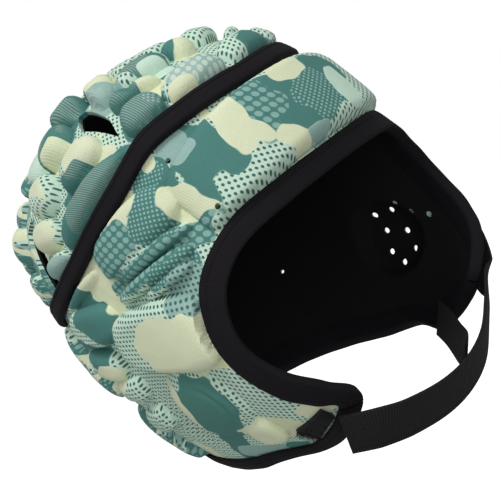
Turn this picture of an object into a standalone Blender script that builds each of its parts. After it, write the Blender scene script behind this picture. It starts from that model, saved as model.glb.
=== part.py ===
# Rugby scrum cap, empty, in the form it has on a head.
# A padded wrap panel rings the head and carries the ear domes and the cheek flaps. A padded crown
# panel with four cut vents closes the top. A raised tape covers the joint between them, a black
# lining backs both, a binding runs round the rim, and a webbing strap passes under the chin.
# Metres, +Z up. The face looks along -Y and the wearer's left is +X. The origin is the point of
# the lining that rests on top of the head.
# Places on the cap are given as seen from the head centre: az is the angle from the face round
# to the back of the head, el the angle above the level of the centre, both in degrees.

import math

import bmesh
import bpy
from mathutils import Vector
from mathutils.geometry import delaunay_2d_cdt

MM = 0.001

# Head form at the mid level of the padding, half sizes from the head centre
HALF_WIDTH = 90.6 * MM
FRONT_REACH = 104.8 * MM
REAR_REACH = 103.3 * MM
CROWN_RISE = 115.8 * MM
LOWER_DROP = 124.9 * MM
PLAN_POWER = 2.3
SIDE_POWER = 2.43
# Where the cap stands out from the head form: place, az, el, their spreads, rise in mm
BULGES = [
    ("cheek flap", 47.4, -27.0, 24.0, 26.0, 22.7),
    ("back corner", 132.0, 12.0, 32.0, 42.0, 3.6),
    ("back of the crown", 144.0, 44.0, 20.0, 18.0, 9.0),
    ("front of the crown", 0.0, 66.0, 50.0, 14.0, -2.2),
    ("lower rim", 98.0, -56.0, 33.0, 16.0, 3.0),
]

# Levels of the layers, measured from the head form
LINING_INSIDE = -9.5 * MM
LINING_OUTSIDE = -8.5 * MM
PANEL_INSIDE = -8.0 * MM
WEB_LEVEL = -5.5 * MM
TAPE_INSIDE = -4.7 * MM
TAPE_OUTSIDE = -1.2 * MM
BINDING_INSIDE = -8.2 * MM
BINDING_OUTSIDE = -3.2 * MM

# Joints between the pieces
TAPE_HALF_WIDTH = 5.0 * MM
PANEL_JOINT_HALF_GAP = 0.7 * MM
PAD_TO_TAPE = 5.4 * MM
PAD_TO_TAPE_RAMP = 2.6 * MM
PAD_TO_RIM = 1.5 * MM
PAD_TO_RIM_RAMP = 4.5 * MM
PAD_TO_VENT = 1.5 * MM
PAD_TO_VENT_RAMP = 3.0 * MM
MM_PER_DEGREE = 1.85 * MM

HEAD_CENTRE = Vector((0.0, 0.0, -(CROWN_RISE + LINING_INSIDE)))

# Line of the crown tape on one side, from the middle of the forehead to the back: (az, el)
TAPE_LINE = [
    (0.0, 34.0), (14.4, 34.3), (28.2, 34.7), (41.2, 35.0), (55.8, 32.0),
    (76.0, 29.5), (98.1, 26.0), (120.0, 21.5), (150.0, 17.5), (180.0, 16.0),
]

# Rim of the cap on one side: (place, az and el of the free edge, az and el of the panel edge)
RIM = [
    ("brow centre", 0.0, -0.7, 0.0, 5.2),
    ("brow", 18.9, -0.9, 18.5, 5.2),
    ("brow end", 36.0, -1.8, 36.5, 4.4),
    ("temple corner", 46.1, -6.2, 50.5, -1.6),
    ("temple", 51.4, -13.1, 57.2, -10.8),
    ("cheek top", 52.6, -20.7, 58.9, -20.8),
    ("cheek", 49.3, -28.8, 55.3, -31.2),
    ("cheek bottom", 43.6, -36.5, 49.6, -38.3),
    ("flap tip", 39.4, -47.2, 45.8, -44.2),
    ("flap bottom", 61.5, -59.8, 64.5, -55.0),
    ("below the ear", 85.7, -56.9, 84.6, -53.0),
    ("behind the ear", 112.1, -52.9, 109.7, -48.3),
    ("nape side", 149.4, -41.5, 147.0, -35.6),
    ("nape", 180.0, -36.0, 180.0, -30.0),
]
CORNER_ROW = 3
TIP_ROW = 8
NAPE_ROW = 13

# Points along the edges of the panels, on one side
BROW_POINTS = 12
CHEEK_POINTS = 10
NECK_POINTS = 24
TAPE_POINTS = 26
# Spacing of the points round each pad, and of those that only follow the head, in degrees
PAD_SPACING = 4.3
OPEN_SPACING = 11.0
MIDDLE_SPACING = 8.0
# Distances in from a pad's edge at which its height is drawn, in mm
PAD_STAGES = (0.0, 1.7, 6.0)
SMALLEST_STAGE = 0.15
PAD_STARTS = 0.02

# Pads, mirrored on the other side unless az is 0 or 180. Half length (along az), half height
# and pad height in mm, tilt in degrees (back end up), power 2 is oval and 4 is nearly square.
WRAP_PADS = [
    ("forehead", 0.0, 18.6, 72.0, 22.0, 0.0, 6.0, 9.5),
    ("temple", 62.0, 21.0, 31.0, 12.5, 0.0, 3.0, 8.0),
    ("upper_finger", 60.0, 12.4, 27.0, 4.6, 5.0, 3.0, 7.0),
    ("middle_finger", 65.0, 8.4, 29.0, 5.2, 5.0, 3.0, 8.5),
    ("lower_finger", 61.0, 4.4, 18.0, 4.0, 3.0, 3.0, 6.5),
    ("cheekbone", 76.0, -6.5, 36.0, 18.5, 16.0, 2.8, 10.0),
    ("flap", 73.5, -43.0, 10.5, 11.0, 0.0, 3.0, 6.0),
    ("below_tape", 100.0, 21.0, 24.0, 3.6, -8.0, 3.0, 4.0),
    ("back_1", 103.0, 9.5, 22.0, 12.0, 12.0, 3.0, 7.5),
    ("back_2", 113.0, -2.0, 16.0, 9.5, 30.0, 3.0, 7.5),
    ("back_3", 111.5, -13.0, 13.0, 8.0, 20.0, 3.0, 6.5),
    ("back_4", 115.0, -25.0, 13.0, 9.0, 10.0, 3.0, 6.0),
    ("behind_upper", 132.5, 2.2, 26.5, 9.0, 82.0, 3.5, 7.5),
    ("behind_lower", 131.5, -29.8, 24.5, 10.0, 85.0, 3.5, 6.2),
    ("back_1b", 153.0, 8.5, 19.0, 9.0, 0.0, 3.5, 7.5),
    ("back_2b", 153.5, -3.5, 19.0, 9.0, 0.0, 3.5, 7.5),
    ("back_3b", 153.5, -15.0, 18.0, 8.5, 0.0, 3.5, 7.5),
    ("back_4b", 153.0, -26.5, 16.5, 8.0, 0.0, 3.5, 7.0),
    ("nape_1", 180.0, 6.0, 17.5, 9.5, 0.0, 3.5, 7.5),
    ("nape_2", 180.0, -6.0, 17.5, 9.5, 0.0, 3.5, 7.5),
    ("nape_3", 180.0, -18.0, 17.0, 9.5, 0.0, 3.5, 7.0),
]
# Each ear dome is a padded ring round a thin middle, drawn at these shares of its radius
EAR_DOME = {"az": 87.0, "el": -30.0, "radius": 25.0, "inner": 0.3, "height": 8.0}
EAR_STAGES = (1.0, 0.9, 0.65, 0.4, 0.3)

CROWN_PADS = [
    ("front", 13.5, 42.0, 19.5, 9.0, 0.0, 3.0, 8.0),
    ("front_corner", 35.0, 42.5, 12.5, 9.5, 12.0, 2.6, 8.2),
    ("small_front", 37.0, 51.0, 8.0, 5.0, 20.0, 2.3, 8.0),
    ("small_roll", 28.0, 50.0, 10.0, 3.8, 15.0, 2.5, 6.5),
    ("second_row", 21.0, 57.5, 16.0, 9.5, 8.0, 2.6, 8.2),
    ("middle_front", 0.0, 56.0, 8.0, 10.0, 0.0, 2.4, 8.5),
    ("above_front_vent", 43.5, 61.5, 12.0, 8.5, 62.0, 2.5, 9.0),
    ("upper_row", 14.0, 69.5, 12.0, 10.0, 0.0, 2.4, 7.0),
    ("front_top", 44.0, 76.5, 9.5, 10.0, 0.0, 2.4, 8.5),
    ("middle_top", 0.0, 81.5, 10.5, 11.0, 0.0, 2.4, 7.5),
    ("top_side", 86.0, 74.0, 12.0, 10.5, 0.0, 2.5, 12.0),
    ("side_upper", 85.0, 61.5, 14.0, 11.0, 0.0, 2.5, 10.5),
    ("side_middle", 66.0, 47.3, 17.0, 9.0, -5.0, 2.6, 9.0),
    ("side_sausage", 70.0, 37.3, 33.5, 7.2, -5.0, 3.2, 8.5),
    ("side_back", 96.5, 50.0, 14.5, 11.0, 0.0, 2.5, 9.5),
    ("side_back_low", 101.5, 40.0, 13.0, 8.5, 0.0, 2.6, 8.5),
    ("vent_corner", 102.0, 31.3, 13.0, 5.2, -8.0, 2.8, 7.0),
    ("back_upper", 116.0, 61.5, 12.5, 11.0, 0.0, 2.5, 8.0),
    ("top_pair", 122.0, 84.0, 10.0, 10.0, 0.0, 2.4, 8.0),
    ("back_top", 162.0, 73.5, 11.0, 10.5, 0.0, 2.4, 8.5),
    ("back_top_side", 125.0, 73.0, 11.0, 10.0, 0.0, 2.4, 8.5),
    ("back_row_1", 180.0, 61.5, 10.5, 10.5, 0.0, 2.5, 8.5),
    ("back_row_1", 156.0, 61.0, 11.5, 10.5, 0.0, 2.5, 8.5),
    ("back_row_1", 136.0, 57.5, 10.5, 8.5, 0.0, 2.5, 8.0),
    ("back_row_2", 169.5, 49.5, 11.5, 11.0, 0.0, 2.6, 8.5),
    ("back_row_2", 150.5, 47.5, 12.0, 10.5, 0.0, 2.6, 10.0),
    ("back_row_3", 180.0, 38.0, 11.0, 10.5, 0.0, 2.6, 8.5),
    ("back_row_3", 165.0, 37.5, 11.5, 10.5, 0.0, 2.6, 8.5),
    ("back_row_3", 149.5, 35.0, 11.5, 10.0, 0.0, 2.6, 11.5),
    ("vent_back_high", 138.0, 40.5, 7.5, 12.0, 12.0, 2.6, 9.0),
    ("back_row_4", 172.5, 26.5, 12.0, 10.0, 0.0, 2.6, 8.5),
    ("back_row_4", 157.5, 25.5, 12.0, 9.5, 0.0, 2.6, 8.5),
    ("back_row_4", 143.5, 26.0, 10.0, 8.5, 0.0, 2.6, 8.0),
    ("vent_back_low", 131.5, 29.5, 7.0, 8.5, 15.0, 2.6, 6.5),
]
PAD_ROUNDING = 7.0

# Corners (az, el) of the cut vents, mirrored on the other side
VENTS = {
    "front_vent": [(69.0, 68.5), (62.0, 57.0), (45.5, 43.0), (45.0, 49.0)],
    "back_vent": [(124.0, 48.5), (113.0, 36.0), (110.5, 27.0), (121.0, 24.8), (130.5, 44.0)],
}

# Webbing strap: centre line from its end outside the right flap, in mm from the head centre
STRAP_WIDTH = 22.0 * MM
STRAP_THICKNESS = 1.8 * MM
STRAP_HANG = [
    (-69.0, -57.8, -100.2), (-60.0, -69.5, -107.0), (-45.0, -74.0, -113.3), (-22.0, -76.0, -118.7),
    (0.0, -76.0, -119.7), (21.0, -74.5, -116.0), (43.5, -69.0, -107.5), (62.0, -64.5, -98.5),
]
# Places (az, el) where the strap lies on the left flap
STRAP_ON_LEFT = [(49.0, -45.0), (56.0, -39.0), (60.0, -33.0)]
STRAP_LIFT = 6.2 * MM
STRAP_AXIS = Vector((0.0, -30.0, -75.0)) * MM
STRAP_STATIONS = 30
# Inner strap layer, sewn inside the left flap and to the back of the strap
INNER_LAYER = [
    (47.5, -36.0, -97.0), (38.5, -46.0, -103.0), (26.5, -57.0, -109.5), (14.5, -68.0, -113.5),
    (2.0, -73.0, -115.2),
]
INNER_LAYER_WIDTH = 20.0 * MM
INNER_LAYER_STATIONS = 12

# Corners (az, el) of the hook patch on the tip of the right flap, and its grid
PATCH_CORNERS = [(-49.0, -45.0), (-61.0, -52.0), (-63.5, -46.0), (-50.0, -40.8)]
PATCH_COLUMNS = 3
PATCH_ROWS = 3
PATCH_GAP = 0.3 * MM
PATCH_THICKNESS = 1.8 * MM

# Section of the rim binding: (0 at the panel to 1 at the free edge, 0 inside to 1 outside)
BINDING_SECTION = [(0.06, 0.0), (0.86, 0.0), (1.0, 0.5), (0.86, 1.0), (0.06, 1.0)]
BINDING_END = 0.03

MATERIALS = {
    "printed_knit": {"colour": (0.24, 0.42, 0.37, 1.0), "roughness": 0.8},
    "black_lining": {"colour": (0.010, 0.010, 0.011, 1.0), "roughness": 0.9},
    "black_tape": {"colour": (0.020, 0.018, 0.022, 1.0), "roughness": 0.75},
    "black_webbing": {"colour": (0.014, 0.014, 0.015, 1.0), "roughness": 0.7},
}


def direction(az, el):
    a = math.radians(az)
    e = math.radians(el)
    return Vector((math.sin(a) * math.cos(e), -math.cos(a) * math.cos(e), math.sin(e)))


def head_radius(unit):
    """Distance from the head centre to the head form along a unit direction."""
    length = FRONT_REACH if unit.y < 0 else REAR_REACH
    height = CROWN_RISE if unit.z > 0 else LOWER_DROP
    plan = (abs(unit.x) / HALF_WIDTH) ** PLAN_POWER + (abs(unit.y) / length) ** PLAN_POWER
    level = plan ** (SIDE_POWER / PLAN_POWER) + (abs(unit.z) / height) ** SIDE_POWER
    az = math.degrees(math.atan2(abs(unit.x), -unit.y))
    el = math.degrees(math.asin(max(-1.0, min(1.0, unit.z))))
    radius = level ** (-1.0 / SIDE_POWER)
    for _, bulge_az, bulge_el, az_spread, el_spread, rise in BULGES:
        off_az = (az - bulge_az) / az_spread
        off_el = (el - bulge_el) / el_spread
        radius += rise * MM * math.exp(-off_az ** 2 - off_el ** 2)
    return radius


def surface_point(az, el, level):
    unit = direction(az, el)
    return HEAD_CENTRE + unit * (head_radius(unit) + level)


def surface_normal(az, el):
    across = surface_point(az + 0.5, el, 0.0) - surface_point(az - 0.5, el, 0.0)
    up = surface_point(az, el + 0.5, 0.0) - surface_point(az, el - 0.5, 0.0)
    return across.cross(up).normalized()


def ramp(value, start, length):
    t = max(0.0, min(1.0, (value - start) / length))
    return t * t * (3.0 - 2.0 * t)


def mix(a, b, t):
    return tuple(p + (q - p) * t for p, q in zip(a, b))


def curve_at(points, t):
    """Catmull-Rom curve through the points, t counted in points."""
    last = len(points) - 1
    k = min(int(t), last - 1)
    f = t - k
    b, c = points[k], points[k + 1]
    a = points[k - 1] if k > 0 else mix(c, b, 2.0)
    d = points[k + 2] if k + 2 <= last else mix(b, c, 2.0)
    return tuple(
        0.5 * (2 * q + (r - p) * f + (2 * p - 5 * q + 4 * r - s) * f * f + (3 * q - p - 3 * r + s) * f ** 3)
        for p, q, r, s in zip(a, b, c, d)
    )


def even_steps(points, start, end, count):
    """Curve positions that split the stretch from start to end into equal lengths."""
    fine = 40 * count
    ts = [start + (end - start) * i / fine for i in range(fine + 1)]
    places = [Vector(surface_point(*curve_at(points, t), 0.0)) for t in ts]
    travelled = [0.0]
    for p, q in zip(places, places[1:]):
        travelled.append(travelled[-1] + (q - p).length)
    steps = []
    k = 0
    for i in range(count + 1):
        target = travelled[-1] * i / count
        while k < fine - 1 and travelled[k + 1] < target:
            k += 1
        part = (target - travelled[k]) / (travelled[k + 1] - travelled[k])
        steps.append(ts[k] + (ts[k + 1] - ts[k]) * min(1.0, max(0.0, part)))
    return steps


def tape_elevation(az):
    """Height of the tape line at an angle round the head."""
    az = abs(az)
    k = 0
    while k < len(TAPE_LINE) - 2 and TAPE_LINE[k + 1][0] < az:
        k += 1
    t = (az - TAPE_LINE[k][0]) / (TAPE_LINE[k + 1][0] - TAPE_LINE[k][0])
    return curve_at(TAPE_LINE, k + t)[1]


FREE_EDGE = [(row[1], row[2]) for row in RIM]
PANEL_EDGE = [(row[3], row[4]) for row in RIM]
BROW_STEPS = even_steps(PANEL_EDGE, 0, CORNER_ROW, BROW_POINTS)
CHEEK_STEPS = even_steps(PANEL_EDGE, CORNER_ROW, TIP_ROW, CHEEK_POINTS)
NECK_STEPS = even_steps(PANEL_EDGE, TIP_ROW, NAPE_ROW, NECK_POINTS)


def pad_frames(pads):
    """Each pad with its mirror image, as a centre, two axes in the surface and its sizes."""
    frames = []
    for name, az, el, half_length, half_height, tilt, power, height in pads:
        for side in ((1,) if az in (0.0, 180.0) else (1, -1)):
            centre = direction(side * az, el)
            a = math.radians(side * az)
            along = Vector((math.cos(a), math.sin(a), 0.0)) * side
            up = centre.cross(along) * side
            up = up if up.z >= 0 else -up
            turn = math.radians(tilt)
            long_axis = along * math.cos(turn) + up * math.sin(turn)
            short_axis = up * math.cos(turn) - along * math.sin(turn)
            reach = head_radius(centre) / MM
            frames.append((centre, long_axis, short_axis, reach, half_length, half_height, power, height))
    return frames


def pad_height(unit, frames):
    """Rise of the padding above the web, in metres."""
    best = 0.0
    for centre, long_axis, short_axis, reach, half_length, half_height, power, height in frames:
        if unit.dot(centre) < 0.5:
            continue
        u = abs(unit.dot(long_axis)) * reach / half_length
        v = abs(unit.dot(short_axis)) * reach / half_height
        f = (u ** power + v ** power) ** (1.0 / power)
        if f < 1.0:
            rounding = min(PAD_ROUNDING, min(half_length, half_height))
            q = min(1.0, (1.0 - f) * min(half_length, half_height) / rounding)
            best = max(best, height * math.sqrt(1.0 - (1.0 - q) ** 2))
    return best * MM


def ear_height(unit, side):
    """Rise of the ring-shaped ear dome above the web, in metres."""
    centre = direction(side * EAR_DOME["az"], EAR_DOME["el"])
    if unit.dot(centre) < 0.5:
        return 0.0
    reach = head_radius(centre) / MM
    offset = (unit - centre * unit.dot(centre)) * reach
    f = offset.length / EAR_DOME["radius"]
    middle = (1.0 + EAR_DOME["inner"]) / 2
    g = (f - middle) / (1.0 - middle)
    return EAR_DOME["height"] * MM * math.sqrt(1.0 - g * g) if abs(g) < 1.0 else 0.0


def tape_fade(az, el):
    """0 under the tape, 1 clear of it."""
    return ramp(abs(el - tape_elevation(az)) * MM_PER_DEGREE, PAD_TO_TAPE, PAD_TO_TAPE_RAMP)


WRAP_FRAMES = pad_frames(WRAP_PADS)
CROWN_FRAMES = pad_frames(CROWN_PADS)
RIM_LINE = [curve_at(PANEL_EDGE, t) for t in BROW_STEPS + CHEEK_STEPS[1:] + NECK_STEPS[1:]]
RIM_POINTS = [surface_point(az, el, 0.0) for az, el in RIM_LINE]


def flat_crown(az, el):
    a = math.radians(az)
    return Vector(((90.0 - el) * math.sin(a), -(90.0 - el) * math.cos(a)))


def round_crown(point):
    return math.degrees(math.atan2(point.x, -point.y)), 90.0 - point.length


def flat_wrap(az, el):
    return Vector((az + 360.0 if az < -90.0 else az, el))


def round_wrap(point):
    return point.x, point.y


def edge_distance(point, loop):
    """Distance in a flat chart from a point to the nearest edge of a loop."""
    best = 1e9
    for a, b in zip(loop, loop[1:] + loop[:1]):
        t = max(0.0, min(1.0, (point - a).dot(b - a) / (b - a).length_squared))
        best = min(best, (point - a - (b - a) * t).length)
    return best


def is_inside(point, loop):
    inside = False
    for a, b in zip(loop, loop[1:] + loop[:1]):
        if (a.y > point.y) != (b.y > point.y):
            if point.x < a.x + (b.x - a.x) * (point.y - a.y) / (b.y - a.y):
                inside = not inside
    return inside


VENT_LOOPS = []
for corners in VENTS.values():
    places = [flat_crown(*corner) for corner in corners]
    loop = []
    for start, end in zip(places, places[1:] + places[:1]):
        loop += [start, start.lerp(end, 0.5)]
    VENT_LOOPS.append(loop)


def vent_fade(az, el):
    """0 at the vents, 1 clear of them."""
    point = flat_crown(abs(az), el)
    if any(is_inside(point, loop) for loop in VENT_LOOPS):
        return 0.0
    nearest = min(edge_distance(point, loop) for loop in VENT_LOOPS)
    return ramp(nearest * MM_PER_DEGREE, PAD_TO_VENT, PAD_TO_VENT_RAMP)


def tape_side(offset):
    """Line beside the tape, from the forehead to the back."""
    azimuths = [180.0 * i / TAPE_POINTS for i in range(TAPE_POINTS + 1)]
    return [(az, tape_elevation(az) + offset / MM_PER_DEGREE) for az in azimuths]


def middle_line(start, end, to_flat):
    """Places along the middle of the cap between two places, without the two."""
    start, end = to_flat(*start), to_flat(*end)
    count = round((end - start).length / MIDDLE_SPACING)
    return [start.lerp(end, k / count) for k in range(1, count)]


ABOVE_TAPE = tape_side(PANEL_JOINT_HALF_GAP)
BELOW_TAPE = tape_side(-PANEL_JOINT_HALF_GAP)
CROWN_LOOP = [flat_crown(*place) for place in ABOVE_TAPE]
CROWN_LOOP += middle_line(ABOVE_TAPE[-1], ABOVE_TAPE[0], flat_crown)
WRAP_LOOP = [flat_wrap(*place) for place in BELOW_TAPE]
WRAP_LOOP += middle_line(BELOW_TAPE[-1], RIM_LINE[-1], flat_wrap)
WRAP_LOOP += [flat_wrap(*place) for place in RIM_LINE[::-1]]
WRAP_LOOP += middle_line(RIM_LINE[0], BELOW_TAPE[0], flat_wrap)


def rim_fade(az, el):
    """0 at the rim, 1 clear of it."""
    place = surface_point(abs(az), el, 0.0)
    if not is_inside(flat_wrap(abs(az), el), WRAP_LOOP):
        return 0.0
    return ramp(min((place - p).length for p in RIM_POINTS), PAD_TO_RIM, PAD_TO_RIM_RAMP)


def wrap_level(az, el):
    """Level of the outside of the wrap panel."""
    unit = direction(az, el)
    rise = max(pad_height(unit, WRAP_FRAMES), ear_height(unit, 1), ear_height(unit, -1))
    return WEB_LEVEL + rise * tape_fade(az, el) * rim_fade(az, el) if rise else WEB_LEVEL


def crown_level(az, el):
    """Level of the outside of the crown panel."""
    rise = pad_height(direction(az, el), CROWN_FRAMES)
    return WEB_LEVEL + rise * tape_fade(az, el) * vent_fade(az, el) if rise else WEB_LEVEL


def pad_ring(frame, stage):
    """Places round a pad, at a share of its size."""
    centre, long_axis, short_axis, reach, half_length, half_height, power, height = frame
    girth = 4.0 * (half_length + half_height) * 0.8 * MM / MM_PER_DEGREE
    count = max(8, 2 * round(girth / PAD_SPACING / 2))
    places = []
    for k in range(count):
        turn = 2.0 * math.pi * k / count
        c, s = math.cos(turn), math.sin(turn)
        u = stage * half_length * math.copysign(abs(c) ** (2.0 / power), c) / reach
        v = stage * half_height * math.copysign(abs(s) ** (2.0 / power), s) / reach
        unit = long_axis * u + short_axis * v + centre * math.sqrt(1.0 - u * u - v * v)
        places.append((math.degrees(math.atan2(unit.x, -unit.y)), math.degrees(math.asin(unit.z))))
    return places


def pad_rings(frames):
    """Rings of places that draw the pads of the left half, each with whether it is a pad's outline."""
    rings = []
    for frame in frames:
        if frame[0].x < -1e-6:
            continue
        for inset in PAD_STAGES:
            stage = 1.0 - inset / min(frame[4], frame[5])
            if stage > SMALLEST_STAGE:
                rings.append((pad_ring(frame, stage), inset < PAD_STAGES[-1]))
    return rings


def ear_rings():
    radius = EAR_DOME["radius"]
    frame = pad_frames([("ear", EAR_DOME["az"], EAR_DOME["el"], radius, radius, 0.0, 2.0, 0.0)])[0]
    return [(pad_ring(frame, stage), True) for stage in EAR_STAGES]


def half_triangles(outline, holes, lines, rings, fade, to_flat, to_round):
    """Triangles over the left half of a panel, with every pad's outline as edges."""
    points = []
    edges = []

    def add_line(line, closed):
        first = len(points)
        points.extend(line)
        edges.extend((k, k + 1) for k in range(first, len(points) - 1))
        if closed:
            edges.append((len(points) - 1, first))

    for loop in [outline] + holes:
        add_line(loop, True)
    for line in lines:
        add_line(line, False)
    for places, outlines in rings:
        ring = [(to_flat(*place), fade(*place)) for place in places]
        for k, (point, there) in enumerate(ring):
            after, after_there = ring[(k + 1) % len(ring)]
            if there > PAD_STARTS:
                points.append(point)
                if outlines and after_there > PAD_STARTS:
                    points.append(after)
                    edges.append((len(points) - 2, len(points) - 1))
    low = Vector((min(p.x for p in outline), min(p.y for p in outline)))
    high = Vector((max(p.x for p in outline), max(p.y for p in outline)))
    for i in range(int((high.x - low.x) / OPEN_SPACING) + 1):
        for j in range(int((high.y - low.y) / OPEN_SPACING) + 1):
            point = low + Vector((i + 0.5 * (j % 2), j + 0.5)) * OPEN_SPACING
            if is_inside(point, outline) and min((point - p).length for p in points) > 0.45 * OPEN_SPACING:
                if not any(is_inside(point, hole) for hole in holes):
                    points.append(point)
    flat, _, faces, *_ = delaunay_2d_cdt(points, edges, [], 0, 1e-3)
    triangles = []
    for face in faces:
        corners = [flat[k] for k in face]
        middle = (corners[0] + corners[1] + corners[2]) / 3.0
        if is_inside(middle, outline) and not any(is_inside(middle, hole) for hole in holes):
            triangles.append([to_round(corner) for corner in corners])
    return triangles


def shell(name, material, layers):
    """Closed solid from an outer and an inner layer, each (triangles, level), and their mirror."""
    mesh = bmesh.new()
    made = {}

    def on_middle(place):
        return abs(math.sin(math.radians(place[0]))) * (90.0 - place[1]) < 2e-3

    def vertex(layer, side, place, level):
        az, el = place
        key = (layer, 0 if on_middle(place) else side, round(az * (90.0 - el), 1), round(el, 3))
        if key not in made:
            made[key] = mesh.verts.new(surface_point(side * az, el, level(side * az, el)))
        return made[key]

    for layer, (triangles, level) in enumerate(layers):
        for side in (1, -1):
            for places in triangles:
                if all(on_middle(place) for place in places):
                    continue
                corners = [vertex(layer, side, place, level) for place in places]
                mesh.faces.new(corners[::-1] if (side < 0) != (layer > 0) else corners)
    partner = {v: made.get((1,) + key[1:]) for key, v in made.items() if key[0] == 0}
    for edge in [e for e in mesh.edges if e.is_boundary and e.verts[0] in partner]:
        loop = edge.link_loops[0]
        start, end = loop.vert, loop.link_loop_next.vert
        mesh.faces.new((end, start, partner[start], partner[end]))
    bmesh.ops.recalc_face_normals(mesh, faces=mesh.faces)
    return add_object(name, material, mesh)


def panels(part, outline, holes, tape_edge, rings, fade, level, to_flat, to_round):
    """Padded panel and the lining behind it."""
    def flat_level(az, el):
        return PANEL_INSIDE

    def lining_outside(az, el):
        return LINING_OUTSIDE

    def lining_inside(az, el):
        return LINING_INSIDE

    padded = half_triangles(outline, holes, [tape_edge], rings, fade, to_flat, to_round)
    plain = half_triangles(outline, holes, [], [], fade, to_flat, to_round)
    shell(part + "_panel", "printed_knit", ((padded, level), (plain, flat_level)))
    shell(part + "_lining", "black_lining", ((plain, lining_outside), (plain, lining_inside)))


def add_object(name, material, mesh):
    data = bpy.data.meshes.new(name)
    mesh.to_mesh(data)
    mesh.free()
    data.materials.append(MADE[material])
    data.shade_smooth()
    data.set_sharp_from_angle(angle=math.radians(50.0))
    obj = bpy.data.objects.new(name, data)
    bpy.context.collection.objects.link(obj)
    return obj


def sweep(name, material, sections, closed):
    """Closed solid through a list of sections, each a ring of points."""
    mesh = bmesh.new()
    rings = [[mesh.verts.new(p) for p in section] for section in sections]
    pairs = list(zip(rings, rings[1:] + rings[:1])) if closed else list(zip(rings, rings[1:]))
    for one, two in pairs:
        for k in range(len(one)):
            n = (k + 1) % len(one)
            mesh.faces.new((one[k], one[n], two[n], two[k]))
    if not closed:
        mesh.faces.new(rings[0][::-1])
        mesh.faces.new(rings[-1])
    bmesh.ops.recalc_face_normals(mesh, faces=mesh.faces)
    return add_object(name, material, mesh)


def binding(name, steps):
    """Binding round a stretch of the rim, from one flap tip to the other."""
    sections = []
    for step in steps:
        side = -1 if step < 0 else 1
        free = curve_at(FREE_EDGE, abs(step))
        panel = curve_at(PANEL_EDGE, abs(step))
        section = []
        for out, high in BINDING_SECTION:
            az, el = mix(panel, free, out)
            level = BINDING_INSIDE + (BINDING_OUTSIDE - BINDING_INSIDE) * high
            section.append(surface_point(side * az, el, level))
        sections.append(section)
    return sweep(name, "black_tape", sections, False)


def crown_tape():
    sections = []
    half = TAPE_HALF_WIDTH / MM_PER_DEGREE
    for i in range(-TAPE_POINTS, TAPE_POINTS):
        az = 180.0 * i / TAPE_POINTS
        el = tape_elevation(az)
        corners = ((half, TAPE_INSIDE), (half, TAPE_OUTSIDE), (-half, TAPE_OUTSIDE), (-half, TAPE_INSIDE))
        sections.append([surface_point(az, el + up, level) for up, level in corners])
    return sweep("crown_tape", "black_tape", sections, True)


def ribbon(name, route, width, stations):
    """Flat webbing along a route of (place, outward normal) rows."""
    sections = []
    for i in range(stations + 1):
        t = (len(route) - 1) * i / stations
        values = [tuple(place) + tuple(normal) for place, normal in route]
        here = curve_at(values, t)
        step = 0.05
        before = Vector(curve_at(values, max(0.0, t - step))[:3])
        after = Vector(curve_at(values, min(len(route) - 1, t + step))[:3])
        along = (after - before).normalized()
        normal = Vector(here[3:])
        normal = (normal - along * normal.dot(along)).normalized()
        across = along.cross(normal) * (width / 2)
        half = normal * (STRAP_THICKNESS / 2)
        place = Vector(here[:3])
        corners = ((1, 1), (-1, 1), (-1, -1), (1, -1))
        sections.append([place + across * side + half * face for side, face in corners])
    return sweep(name, "black_webbing", sections, False)


def strap_normal(place):
    return (place - HEAD_CENTRE - STRAP_AXIS).normalized()


def chin_strap():
    def on_flap(az, el):
        normal = surface_normal(az, el)
        return surface_point(az, el, 0.0) + normal * (WEB_LEVEL + STRAP_LIFT), normal

    route = []
    for point in STRAP_HANG:
        place = HEAD_CENTRE + Vector(point) * MM
        route.append((place, strap_normal(place)))
    route += [on_flap(az, el) for az, el in STRAP_ON_LEFT]
    return ribbon("chin_strap", route, STRAP_WIDTH, STRAP_STATIONS)


def strap_inner_layer():
    route = []
    for point in INNER_LAYER:
        place = HEAD_CENTRE + Vector(point) * MM
        route.append((place, strap_normal(place)))
    return ribbon("strap_inner_layer", route, INNER_LAYER_WIDTH, INNER_LAYER_STATIONS)


def hook_patch():
    """Patch of hook tape over the tip of the right flap."""
    mesh = bmesh.new()
    layers = []
    for lift in (PATCH_GAP + PATCH_THICKNESS, PATCH_GAP):
        grid = []
        for i in range(PATCH_COLUMNS + 1):
            low = mix(PATCH_CORNERS[0], PATCH_CORNERS[1], i / PATCH_COLUMNS)
            high = mix(PATCH_CORNERS[3], PATCH_CORNERS[2], i / PATCH_COLUMNS)
            places = [mix(low, high, j / PATCH_ROWS) for j in range(PATCH_ROWS + 1)]
            grid.append([mesh.verts.new(surface_point(az, el, WEB_LEVEL + lift)) for az, el in places])
        layers.append(grid)
    for grid in layers:
        for i in range(PATCH_COLUMNS):
            for j in range(PATCH_ROWS):
                mesh.faces.new((grid[i][j], grid[i + 1][j], grid[i + 1][j + 1], grid[i][j + 1]))
    rims = []
    for grid in layers:
        rim = [column[0] for column in grid] + grid[-1][1:]
        rims.append(rim + [column[-1] for column in grid[-2::-1]] + grid[0][-2:0:-1])
    for k in range(len(rims[0])):
        n = (k + 1) % len(rims[0])
        mesh.faces.new((rims[0][k], rims[0][n], rims[1][n], rims[1][k]))
    bmesh.ops.recalc_face_normals(mesh, faces=mesh.faces)
    return add_object("hook_patch", "black_webbing", mesh)


def make_materials():
    made = {}
    for name, finish in MATERIALS.items():
        material = bpy.data.materials.new(name)
        material.use_nodes = True
        shader = material.node_tree.nodes["Principled BSDF"]
        shader.inputs["Base Color"].default_value = finish["colour"]
        shader.inputs["Roughness"].default_value = finish["roughness"]
        shader.inputs["Metallic"].default_value = 0.0
        made[name] = material
    return made


def clear_scene():
    for obj in list(bpy.data.objects):
        bpy.data.objects.remove(obj, do_unlink=True)


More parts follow.
